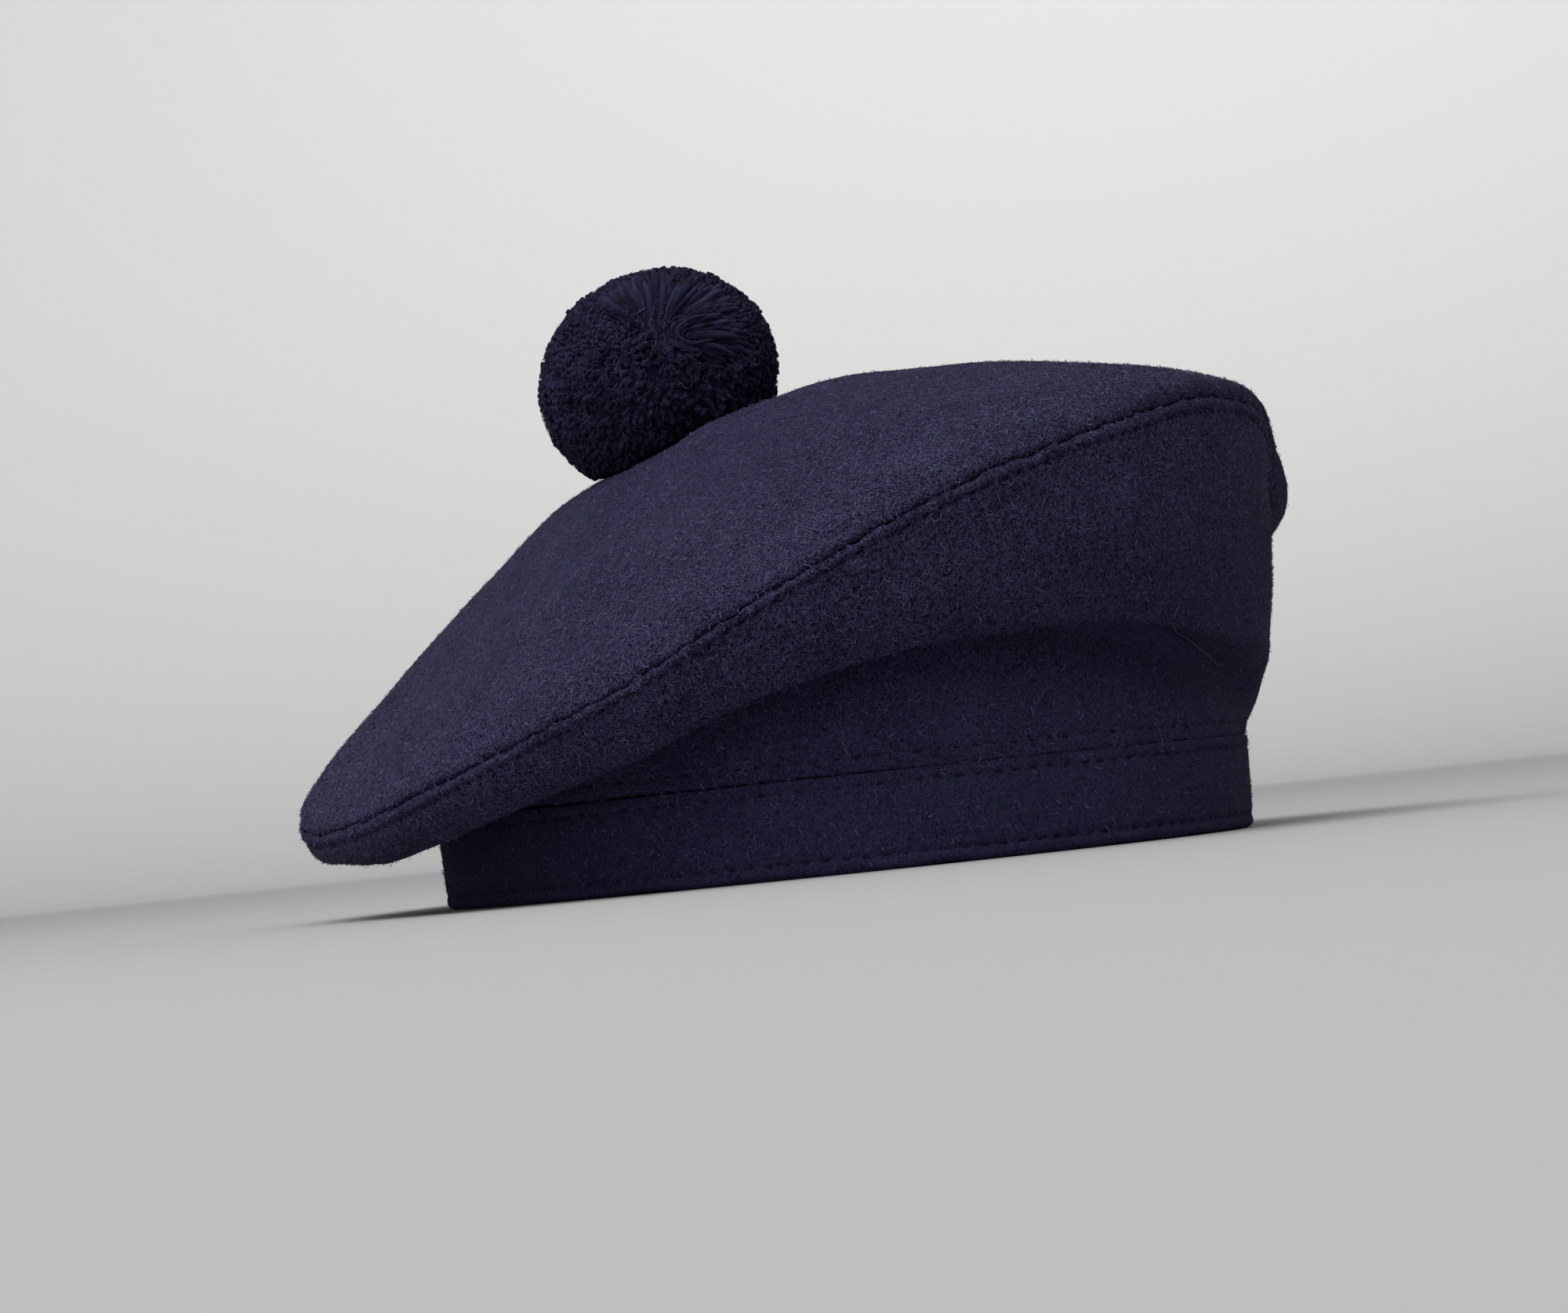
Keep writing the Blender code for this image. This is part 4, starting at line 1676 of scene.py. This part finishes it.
@dataclass
class Headband:
    """A strip folded in two along the rim, sewn to the side piece and topstitched twice."""

    form: HatForm
    columns: int = 900
    stitches: int = 150
    slit: float = 0.12  # between the two layers
    fold: float = 1.7  # rounding of the folded rim
    fold_height: float = 1.3
    sink: float = 0.35
    top: SeamStyle = SeamStyle(
        roll=1.5, depth=0.28, puff=0.08, puff_at=1.3, row_at=2.3, pinch=0.6, channel=0.5,
        pucker=Ripple(0.2, 6.0, 3.1), edge_nap=0.9,
    )
    rim: SeamStyle = SeamStyle(
        roll=0.01, depth=0.0, puff=0.15, puff_at=1.3, row_at=2.9, pinch=0.5, channel=0.5,
        pucker=Ripple(0.2, 6.0, 3.1),
    )
    rim_apart: float = 40.0  # so that the rim's unevenness isn't that of the top edge
    wave: Ripple = Ripple(0.3, 22.0, 0.7)
    rim_wave: Ripple = Ripple(0.35, 13.0, 12.0)  # how far the rim is off the ground in places
    rim_reach: float = 3.0
    rim_bottom: float = 0.03
    fold_steps: int = 6
    slit_places: tuple[float, ...] = (18.7, 10.0, 2.4)  # heights
    nap_from: tuple[float, float] = (1.7, 2.6)  # heights over which the nap sets in
    nap_density: float = 0.36
    nap_seed: int = 37
    grain: float = 0.0  # the band is worn smooth and gets none of the painted shade
    heights: tuple[float, ...] = (
        19.0, 18.85, 18.65, 18.4, 18.1, 17.7, 17.2, 16.9, 16.7, 16.5, 16.2, 15.6, 14.8, 13.6,
        12.0, 10.4, 8.8, 7.2, 5.8, 4.7, 3.9, 3.4, 3.1, 2.9, 2.7, 2.4, 1.9, 1.3,
    )

    def outline(self) -> tuple[list[tuple[float, float]], int]:
        """The section of the folded strip, as inset from the outer face and height.

        Returns:
            Points from the outer top edge down, under the rim, up the inner face, and back
            along the slit between the layers, and how many of them show outside.
        """
        form = self.form
        layer = (form.band_wall - self.slit) / 2
        outside = [(0.0, z) for z in self.heights]
        turns = [0.5 * math.pi * k / self.fold_steps for k in range(1, self.fold_steps)]
        curve = [
            (self.fold * (1 - math.cos(turn)), self.fold_height * (1 - math.sin(turn)))
            for turn in turns
        ]
        bottom = [(inset, self.rim_bottom) for inset in (self.fold, form.band_wall - self.fold)]
        back = [(form.band_wall - inset, z) for inset, z in reversed(curve)]
        inside = [(form.band_wall, z) for z in reversed(self.heights[::3])]
        slit = [(form.band_wall - layer, z) for z in self.slit_places]
        slit += [(layer, z) for z in reversed(self.slit_places)]
        return outside + curve + bottom + back + inside + slit, len(outside + curve + bottom)

    def build(self) -> tuple[Mesh, list[StitchRow]]:
        """Build the cloth.

        Returns:
            The mesh and its rows of stitches.
        """
        form = self.form
        angles = even_bearings(form.band_line, self.columns)
        base = form.band_line(angles)
        section, shown = self.outline()
        rim_lift = np.clip(self.rim_wave.at(base), 0.0, self.rim_wave.amount)
        rings = []
        for k, (inset, z) in enumerate(section):
            out = np.zeros(self.columns)
            if k < shown or inset == form.band_wall:
                out = self.relief(base, z)
            if inset > form.band_wall / 2:
                out = -out
            flare = form.band_flare * (1 - z / form.band_height)
            radius = form.oval_radius(angles, inset + flare) + out
            lift = rim_lift * max(1 - z / self.rim_reach, 0.0)
            rings.append(form.placed(angles, radius, z + lift))
        facing = unit(base * [1, 1, 0])
        rows = []
        for height in (form.band_height - self.top.row_at, self.rim.row_at):
            k = int(np.argmin(np.abs(np.array(self.heights) - height)))
            rows.append(StitchRow.on(rings[k], facing, self.stitches))
        heights = np.array([z for _, z in section[:shown]])
        nap = np.minimum(self.top.nap(form.band_height - heights), 1.0)
        nap -= self.rim.flattened(heights)
        nap *= smoothstep(heights, *self.nap_from)
        thinner = [ring[::2] if k >= shown else ring for k, ring in enumerate(rings)]
        grain = [self.grain] * (shown - 1)
        return to_frame(shell("headband", thinner, True, nap[:-1], grain), form), rows

    def relief(self, base: Array, z: float) -> Array:
        """How far the cloth stands out over its plain form at one height."""
        phase = phases(self.columns, self.stitches)[:, 0]
        return (
            self.top.height(self.form.band_height - z, phase, base)
            + self.rim.height(z, phase, base + [0, 0, self.rim_apart])
            + self.wave.at(base + [0, 0, z])
            - self.sink
        )

    def dress(self, dressing: Dressing) -> list[Object]:
        """Make the finished piece with its stitches and nap."""
        return dressing.cloth_piece("headband", *self.build(), self.nap_density, self.nap_seed)


# ---- The yarn ----


@dataclass
class LooseHairs:
    """A few long hairs that came loose from the yarn and lie on the cloth.

    Each is given as the camera sees it: how far right of the head's axis, and how high.
    """

    form: HatForm
    studio: Studio
    thickness: float = 0.09
    lift: float = 0.3
    steps: int = 3  # between two of the points below
    sides: int = 4
    lines: tuple[tuple[tuple[float, float], ...], ...] = (
        ((-3.4, 73.3), (-1.7, 72.3), (0.8, 71.2), (3.4, 70.9), (5.5, 71.7), (6.9, 72.6)),
        (
            (75.2, 48.0), (73.7, 45.5), (73.9, 42.8), (75.8, 41.1), (77.2, 39.8), (78.5, 38.2),
            (80.3, 36.5), (82.1, 34.5), (84.3, 36.4), (86.1, 37.9), (87.9, 39.0),
        ),
    )

    def laid(self, line: Array, surfaces: Sequence[BVHTree]) -> Array:
        """Lay a hair's points on whichever cloth the camera sees there.

        Args:
            line: points in the plane through the head's axis that faces the camera.
            surfaces: the cloth pieces.

        Returns:
            Points on the cloth, from the head's axis.
        """
        eye = self.studio.place()
        axis = Vector(self.form.head_axis)
        laid = []
        for point in line:
            way = (Vector(point) + axis - eye).normalized()
            hits = [surface.ray_cast(eye * MM, way) for surface in surfaces]
            near = [hit for hit in hits if hit[0] is not None]
            if near:
                place, facing = min(near, key=lambda hit: hit[3])[:2]
                laid.append(place / MM - axis + self.lift * facing)
        return np.array(laid)

    def dress(self, dressing: Dressing, cloths: Sequence[Object]) -> list[Object]:
        """Make the hairs as one finished piece."""
        depsgraph = bpy.context.evaluated_depsgraph_get()
        surfaces = [BVHTree.FromObject(cloth, depsgraph) for cloth in cloths]
        right, _ = self.studio.directions()
        hairs = []
        for line in self.lines:
            flat = np.array([np.array(right) * aside + [0, 0, up] for aside, up in line])
            hairs.append(smooth_lines(self.laid(flat, surfaces)[None], self.steps)[0])
        points = np.concatenate(hairs)
        starts = np.arange(len(points) - 1)
        last = np.cumsum([len(hair) for hair in hairs])[:-1] - 1
        starts = np.delete(starts, last)  # no edge from one hair to the next
        mesh = line_mesh("hair_paths", points, np.stack([starts, starts + 1], axis=1))
        give(mesh, "thick", np.full(len(points), self.thickness * MM))
        give(mesh, "tone", np.ones(len(points)))
        values = {"Sides": self.sides, "Material": dressing.fibre}
        made = to_frame(YarnSpinner("hairs").apply(mesh, values), self.form)
        return [add_piece("loose_hairs", made, dressing.fibre)]


@dataclass
class Pompom:
    """Cut yarn tied at its middle: strands lie flat above the tie and stand on end elsewhere."""

    form: HatForm
    radius: float = 26.0
    half_height: float = 23.2
    tilt: float = 21.0
    lean_direction: float = -15.0
    shift: float = 4.4
    rise: float = 12.5
    gap: float = 0.9  # of the strands over the crown
    strands: int = 5000
    thickness: float = 0.76  # radius of a strand's opened end
    shares: tuple[float, ...] = (0.0, 0.45, 0.8, 1.0)  # places along a strand
    widths: tuple[float, ...] = (0.55, 0.8, 1.0, 0.7)  # its breadth there
    tie_bearing: float = -102.7  # where the tie shows, on the face side
    tie_height: float = 16.5  # degrees above level
    laid_towards: tuple[float, float, float] = (0.483, -0.13, 0.87)  # from the tie
    laid_least: float = 6.0  # degrees from the tie to which strands lie flat
    laid_most: float = 50.0
    laid_gather: float = 0.55  # share of that way that their cut ends keep clear
    laid_scatter: float = 0.06  # how unevenly that area ends
    laid_edge: float = 0.07  # and how softly
    laid_sink: float = 0.1  # how much deeper than its end such a strand starts
    buried: float = 0.06  # most by which one lies under the others
    root: tuple[float, float] = (0.15, 0.08)  # its start: a share of its angle, and at most this
    stand_from: float = 0.62  # share of the way to the outer form where the others start
    stand_lean: float = 0.45  # how much they lean away from the tie there
    noise_radius: float = 25.0  # of the ball on which unevenness is drawn
    tuft: Ripple = Ripple(0.02, 2.6, 31.0)  # draws the cut ends together in small tufts
    lock: Ripple = Ripple(0.035, 7.5, 83.0)  # and in wider locks
    lock_at_tie: float = 0.075  # how much more it does so beside the tie
    scatter: float = 0.012
    by_tie: tuple[float, float] = (0.3, 0.9)  # cosines between which the tie makes itself felt
    trim: Ripple = Ripple(0.012, 5.0, 3.0)  # how evenly the ball is trimmed
    trim_reach: float = 0.985
    cut: tuple[float, float] = (0.004, 0.022)  # how much single ends differ, and more at the tie
    parting: Ripple = Ripple(1.0, 2.8, 97.0)  # where the yarn parts
    parting_range: tuple[float, float] = (0.2, 0.6)
    cleft_depth: tuple[float, float] = (0.012, 0.07)  # in general, and more at the tie
    cleft_tone: float = 0.42  # painted shade: how much darker the strands are in the clefts
    stray: float = 0.22
    tone: float = 0.62
    tone_spread: tuple[float, float] = (0.06, 0.23)  # in general, and more where it lies flat
    tone_patches: Ripple = Ripple(0.3, 4.0, 51.0)
    flat_tone: float = 0.02
    swell: tuple[float, float] = (0.8, 1.15)  # thinnest and thickest strand, as shares
    flat_swell: float = 0.25  # how much thinner those that lie flat may be
    sides: int = 5
    core_rows: int = 24
    core_reach: float = 0.94
    core_dip: float = 0.06
    # the core's tone and place along a strand, both low: painted shade seen in the gaps between
    # strands
    core_marks: tuple[tuple[str, float], ...] = (("tone", 0.4), ("along", 0.6))
    core_gap: float = 0.8
    fuzz_reach: float = 0.985
    fuzz_dip: float = 0.03
    fuzz_density: float = 1.4
    fuzz_seed: int = 41
    seed: int = 5
    loop_radius: float = 0.38
    loop_tone: float = 0.7
    loop_steps: int = 3
    loop: tuple[tuple[float, float], ...] = (
        (19.0, 11.9), (14.0, 11.3), (8.9, 10.5), (5.5, 8.5), (5.6, 6.4), (8.0, 5.1), (11.3, 5.4),
        (15.1, 6.9),
    )  # a strand bent back on itself, right of and above the ball's middle as the face sees it
    loop_reach: tuple[float, ...] = (0.9, 0.97, 1.0, 1.005, 1.005, 1.0, 0.98, 0.93)

    def axes(self) -> tuple[Array, Array]:
        """Middle of the ball and its three axes as rows, the last one its short axis."""
        lean = math.radians(self.lean_direction)
        uphill = np.array([math.cos(lean), math.sin(lean), 0.0])
        tilt = math.radians(self.tilt)
        axis = np.array([0.0, 0.0, math.cos(tilt)]) - uphill * math.sin(tilt)
        middle = np.array(self.form.crown_centre) - self.shift * uphill + [0, 0, self.rise]
        across = unit(np.cross(axis, uphill))
        return middle, np.stack([np.cross(across, axis), across, axis])

    def tie(self) -> Array:
        """The way from the ball's middle to where the tie shows."""
        bearing, height = math.radians(self.tie_bearing), math.radians(self.tie_height)
        level = math.cos(height)
        return np.array([math.cos(bearing) * level, math.sin(bearing) * level, math.sin(height)])

    def trimmed(self, ways: Array, reach: Array | float) -> Array:
        """Points in these directions, at a share of the way to the trimmed outer form."""
        middle, axes = self.axes()
        sizes = np.array([self.radius, self.radius, self.half_height])
        far = 1 / np.linalg.norm((ways @ axes.T) / sizes, axis=-1)
        return middle + ways * (far * reach)[..., None]

    def tips(self, random: np.random.Generator) -> Array:
        """Directions of the cut ends: even over the ball, then drawn together in small tufts."""
        k = np.arange(self.strands) + 0.5
        z = 1 - 2 * k / self.strands
        swing = np.pi * (1 + 5**0.5) * k
        ways = self.form.placed(swing, np.sqrt(1 - z * z), z)
        locks = 1 + self.lock_at_tie / self.lock.amount * self.near_tie(ways)[:, None]
        drift = self.drift(ways, self.tuft) + locks * self.drift(ways, self.lock)
        return unit(ways + drift + random.normal(0, self.scatter, ways.shape))

    def drift(self, ways: Array, ripple: Ripple) -> Array:
        """Unevenness on the ball that moves these directions, other noise for each axis."""
        axes = [Ripple(ripple.amount, ripple.width, ripple.seed + 7.0 * k) for k in range(3)]
        return np.stack([axis.at(ways * self.noise_radius) for axis in axes], axis=1)

    def near_tie(self, ways: Array) -> Array:
        """How near these directions are to the tie, from 0 to 1."""
        return smoothstep(ways @ self.tie(), *self.by_tie)

    def bearings(self, ways: Array) -> tuple[Array, Array, Array]:
        """Where directions lie as seen from the tie.

        Args:
            ways: directions from the ball's middle.

        Returns:
            The angle of each from the tie, its way away from the tie, and the angle up to
            which strands that go this way lie flat.
        """
        tie = self.tie()
        angle = np.arccos(np.clip(ways @ tie, -1, 1))
        away = unit(ways - (ways @ tie)[:, None] * tie)
        toward = smoothstep(away @ np.array(self.laid_towards), -0.15, 0.45)
        limit = np.radians(self.laid_least + (self.laid_most - self.laid_least) * toward)
        return angle, away, limit

    def paths(self) -> tuple[Array, Array]:
        """Lay out the strands.

        Returns:
            Paths of all the strands from near the tie to their cut ends, and how flat each
            lies, from 0 for one that stands on end to 1.
        """
        random = np.random.default_rng(self.seed)
        tips = self.tips(random)
        tie = self.tie()
        angle, away, limit = self.bearings(tips)
        limit = limit + random.normal(0, self.laid_scatter, self.strands)
        flat = (1 - smoothstep(angle - limit, -self.laid_edge, self.laid_edge))[:, None]
        pushed = self.laid_gather * limit + (1 - self.laid_gather) * angle
        angle = np.where(angle < limit, pushed, angle)
        tips = np.cos(angle)[:, None] * tie + np.sin(angle)[:, None] * away
        near_tie = self.near_tie(tips)
        reach = self.trim_reach + self.trim.at(tips * self.noise_radius)
        reach -= (self.cleft_depth[0] + self.cleft_depth[1] * near_tie) * self.cleft(tips)
        cut = self.cut[0] + self.cut[1] * near_tie
        reach = reach + random.uniform(-1.0, 0.5, self.strands) * cut
        buried = self.buried * random.uniform(0.0, 1.0, self.strands) ** 1.5
        start = np.minimum(angle * self.root[0], self.root[1])
        lean = self.stand_lean * np.sin(np.minimum(angle, 1.2))
        paths = np.empty((self.strands, len(self.shares), 3))
        for j, share in enumerate(self.shares):
            arc = start + (angle - start) * share
            along = np.cos(arc)[:, None] * tie + np.sin(arc)[:, None] * away
            risen = 1 - self.laid_sink * (1 - math.sin(0.5 * math.pi * share))
            lying = self.trimmed(along, reach * risen - buried)
            way = unit(tips - away * (lean * (1 - share))[:, None])
            out = self.stand_from + (1 - self.stand_from) * share
            paths[:, j] = lying * flat + self.trimmed(way, reach * out) * (1 - flat)
        bend = random.normal(0, self.stray, paths.shape)
        return paths + bend * (np.array(self.shares) > 0)[None, :, None], flat[:, 0]

    def cleft(self, ways: Array) -> Array:
        """Where in these directions the yarn parts: 1 in the clefts between its tufts."""
        return smoothstep(self.parting.at(ways * self.noise_radius), *self.parting_range)

    def loop_path(self) -> Array:
        """The strand that lies in a loop beside the tie."""
        turn = math.radians(self.lean_direction)
        right = np.array([math.cos(turn), math.sin(turn), 0.0])
        back = np.array([math.sin(turn), -math.cos(turn), 0.0])
        aside = np.array(self.loop)
        deep = np.sqrt(self.radius**2 - (aside**2).sum(axis=1))
        ways = unit(aside[:, :1] * right + aside[:, 1:] * [0, 0, 1] + deep[:, None] * back)
        corners = self.trimmed(ways, np.array(self.loop_reach))
        return smooth_lines(corners[None], self.loop_steps)[0]

    def raised(self, points: Array, crown: Object, gap: float) -> Array:
        """Lift what would lie in the crown onto it, along the way that the crown faces."""
        surface = BVHTree.FromObject(crown, bpy.context.evaluated_depsgraph_get())
        facing = self.crown_facing(surface)
        high = 4 * self.radius * facing
        axis = Vector(self.form.head_axis)
        flat = points.reshape(-1, 3)
        lifted = flat.copy()
        for k, row in enumerate(flat.tolist()):
            point = Vector(row)
            hit = surface.ray_cast((point + high + axis) * MM, -facing)[0]
            if hit is None:
                continue
            seat = hit / MM - axis + gap * facing
            sunk = min((point - seat).dot(facing), 0.0)
            lifted[k] = point - sunk * facing
        return lifted.reshape(points.shape)

    def crown_facing(self, surface: BVHTree) -> Vector:
        """The way that the crown faces under the pompom."""
        axis = Vector(self.form.head_axis)
        above = (Vector(self.form.crown_centre) + axis + Vector((0, 0, 60))) * MM
        normals = [
            surface.ray_cast(above + Vector((dx, dy, 0)) * MM, Vector((0, 0, -1)))[1]
            for dx in (-8, 0, 8)
            for dy in (-8, 0, 8)
        ]
        return sum(normals, Vector()).normalized()

    def ball(self, crown: Object, reach: float, dip: float, nap: float) -> Mesh:
        """Make a ball of the trimmed form that sits on the crown.

        Args:
            crown: what it sits on.
            reach: its share of the way to the trimmed form.
            dip: how much less that is under the strands that lie flat.
            nap: value of its nap attribute.

        Returns:
            The mesh.
        """
        rows, columns = self.core_rows, 2 * self.core_rows
        swing = np.linspace(0, TURN, columns, endpoint=False)
        rings = []
        for row in range(rows + 1):
            polar = math.pi * row / rows
            level = np.full(columns, math.sin(polar))
            ways = self.form.placed(swing, level, math.cos(polar))
            ways = ways[:1] if row in (0, rows) else ways
            angle, _, limit = self.bearings(ways)
            lower = dip * (1 - smoothstep(angle - limit, -0.25, 0.1))
            ball = self.trimmed(ways, reach - lower)
            rings.append(self.raised(ball, crown, self.core_gap))
        mesh = shell("pompom_core", rings, False, [nap] * rows)
        # painted shade on the core
        for name, value in self.core_marks:
            give(mesh, name, np.full(len(mesh.vertices), value))
        return to_frame(mesh, self.form)

    def yarn(self, crown: Object, material: Material) -> Mesh:
        """Sweep all the strands into tubes that open towards their cut ends."""
        random = np.random.default_rng(self.seed + 2)
        loop = self.loop_path()
        paths, flat = self.paths()
        paths = self.raised(paths, crown, self.gap)
        points = np.concatenate([paths.reshape(-1, 3), loop])
        numbers = np.arange(paths.shape[0] * paths.shape[1]).reshape(paths.shape[:2])
        edges = np.stack([numbers[:, :-1], numbers[:, 1:]], axis=-1).reshape(-1, 2)
        first = numbers.size + np.arange(len(loop) - 1)
        edges = np.concatenate([edges, np.stack([first, first + 1], axis=1)])
        thinnest, thickest = self.swell
        swell = random.uniform(thinnest - self.flat_swell * flat, thickest) * self.thickness
        tone = random.normal(self.tone, self.tone_spread[0] + self.tone_spread[1] * flat)
        tone += self.flat_tone * flat + self.tone_patches.at(paths[:, -1])
        middle, _ = self.axes()
        # painted shade in the clefts between the tufts
        tone -= self.cleft_tone * (1 - flat) * self.cleft(unit(paths[:, -1] - middle))
        tone = np.clip(tone, 0.0, 1.0)
        mesh = line_mesh("pompom_paths", points, edges)
        facts = {
            "thick": (swell[:, None] * np.array(self.widths) * MM, self.loop_radius * MM),
            "along": (np.broadcast_to(np.array(self.shares), numbers.shape), 1.0),
            "tone": (np.broadcast_to(tone[:, None], numbers.shape), self.loop_tone),
        }
        for name, (values, of_loop) in facts.items():
            give(mesh, name, np.concatenate([values.ravel(), np.full(len(loop), of_loop)]))
        values = {"Sides": self.sides, "Material": material}
        return to_frame(YarnSpinner("pompom_strands").apply(mesh, values), self.form)

    def dress(self, dressing: Dressing, crown: Object) -> list[Object]:
        """Make the finished pompom."""
        yarn = dressing.yarn
        strands = add_piece("pompom", self.yarn(crown, yarn), yarn, ["pompom"])
        inner = self.ball(crown, self.core_reach, self.core_dip, 0.0)
        core = add_piece("pompom_core", inner, yarn)
        ground = self.ball(crown, self.fuzz_reach, self.fuzz_dip, 1.0)
        fluff = dressing.grown(
            ground, "pompom_fuzz", self.fuzz_density, self.fuzz_seed, dressing.fluff
        )
        fuzz = add_piece("pompom_fuzz", fluff, dressing.fluff)
        return [strands, core, fuzz]


# ---- The studio ----


@dataclass
class Studio:
    """A pale seamless floor, soft lights and the camera."""

    form: HatForm
    azimuth: float = -15.0  # the camera stands this far round from the wearer's face
    distance: float = 1200.0
    camera_height: float = 14.0
    target_aside: float = -8.5
    target_height: float = 45.6
    roll: float = 6.0
    pixels_per_mm: float = 6.07
    picture_width: float = 2000.0
    sensor: float = 36.0
    floor_flat: float = 1.9  # metres, up to where the floor begins to rise
    floor_rings: int = 8
    floor_bend: float = 1.1
    bend_rings: int = 16
    wall_height: float = 3.4
    floor_sides: int = 96
    surround: str = "f0f0f0"
    surround_strength: float = 0.68

    def sweep(self, material: Material) -> None:
        """A round floor that bends up into a wall on all sides."""
        flat, bend = self.floor_flat, self.floor_bend
        profile = [(flat * k / self.floor_rings, 0.0) for k in range(1, self.floor_rings + 1)]
        for k in range(1, self.bend_rings + 1):
            angle = 0.5 * math.pi * k / self.bend_rings
            profile.append((flat + bend * math.sin(angle), bend * (1 - math.cos(angle))))
        profile.append((flat + bend, self.wall_height))
        swing = np.linspace(0, TURN, self.floor_sides, endpoint=False)
        rings = [np.zeros((1, 3))]
        for radius, height in profile:
            rings.append(self.form.placed(swing, np.full(len(swing), radius), height))
        faces = [face for band in ring_faces(rings, False) for face in band]
        mesh = mesh_of("studio_sweep", np.concatenate(rings) / MM, faces)
        mesh.materials.append(material)
        sweep = show("studio_sweep", mesh)

    def light(
        self,
        name: str,
        place: tuple[float, float, float],
        size: tuple[float, float],
        power: float,
        looks_at: tuple[float, float, float] = (0.0, 0.0, 0.06),
        colour: tuple[float, float, float] = (1.0, 1.0, 1.0),
    ) -> None:
        """Add a soft rectangular light, in metres from the head's axis, that looks at a place."""
        data = bpy.data.lights.new(name, "AREA")
        data.color = colour
        data.shape = "RECTANGLE"
        data.size, data.size_y = size
        data.energy = power
        lamp = show(name, data)
        lamp.location = Vector(self.form.head_axis * MM) + Vector(place)
        aim = Vector(looks_at) - Vector(place)
        lamp.rotation_euler = aim.to_track_quat("-Z", "Y").to_euler()

    def lights(self) -> None:
        """Soft light from above, some from the front, some on the wall, and a pale surround."""
        rosy = (1.0, 0.95, 0.96)
        self.light("overhead_softbox", (-0.8, -0.6, 1.85), (1.8, 1.6), 30.0, colour=rosy)
        self.light("front_softbox", (-1.0, -1.35, 1.1), (0.9, 0.9), 5.5)
        self.light("low_softbox", (-1.45, -1.15, 0.4), (0.6, 0.3), 1.65)
        self.light("wall_softbox", (0.8, 2.0, 1.4), (0.8, 0.3), 4.2, (1.05, 2.9, 0.5))
        world = bpy.data.worlds.new("pale_surround")
        world.use_nodes = True
        background = world.node_tree.nodes["Background"]
        background.inputs["Color"].default_value = linear(self.surround)
        background.inputs["Strength"].default_value = self.surround_strength
        bpy.context.scene.world = world
        bpy.context.scene.view_settings.view_transform = "Standard"

    def directions(self) -> tuple[Vector, Vector]:
        """The level ways to the camera's right and towards the camera."""
        turn = math.radians(self.azimuth)
        right = Vector((math.cos(turn), math.sin(turn), 0.0))
        return right, Vector((math.sin(turn), -math.cos(turn), 0.0))

    def target(self) -> Vector:
        """The point that the camera looks at."""
        right, _ = self.directions()
        target = Vector(self.form.head_axis) + self.target_aside * right
        target.z = self.target_height
        return target

    def place(self) -> Vector:
        """Where the camera stands."""
        _, towards = self.directions()
        place = self.target() + towards * self.distance
        place.z = self.camera_height
        return place

    def camera(self) -> None:
        """Place the camera low in front of the hat, rolled as the picture is."""
        right, _ = self.directions()
        place = self.place()
        look = self.target() - place
        scale = self.pixels_per_mm * look.length / self.picture_width
        data = bpy.data.cameras.new("photo_camera")
        data.sensor_width = self.sensor
        data.lens = self.sensor * scale
        data.clip_start, data.clip_end = 0.05, 20.0
        camera = show("photo_camera", data)
        forward = look.normalized()
        up = right.cross(forward)
        angle = math.radians(self.roll)
        rolled_right = math.cos(angle) * right - math.sin(angle) * up
        rolled_up = math.sin(angle) * right + math.cos(angle) * up
        axes = Matrix((rolled_right, rolled_up, -forward)).transposed()
        camera.matrix_world = Matrix.Translation(place * MM) @ axes.to_4x4()
        bpy.context.scene.camera = camera


def main() -> None:
    """Build the hat and its surroundings."""
    logging.basicConfig(level=logging.INFO, format="%(name)s: %(message)s")
    form = HatForm()
    studio = Studio(form)
    dressing = Dressing(
        form,
        MeltonWool().material(),
        LooseFibre().material(),
        SewingThread().material(),
        WoolYarn().material(),
        LooseFibre("yarn_fibre_dyed", "15132a", "353254").material(),
    )
    side = CrownSide(form)
    top = CrownTop(form, side)
    shared = SharedEdge.between(side, top)
    band_pieces = Headband(form).dress(dressing)
    side_pieces = side.dress(dressing, shared)
    top_pieces = top.dress(dressing, shared)
    Pompom(form).dress(dressing, top_pieces[0])
    LooseHairs(form, studio).dress(dressing, [side_pieces[0], top_pieces[0]])
    studio.sweep(PaperSweep().material())
    studio.lights()
    studio.camera()


if __name__ == "__main__":
    main()
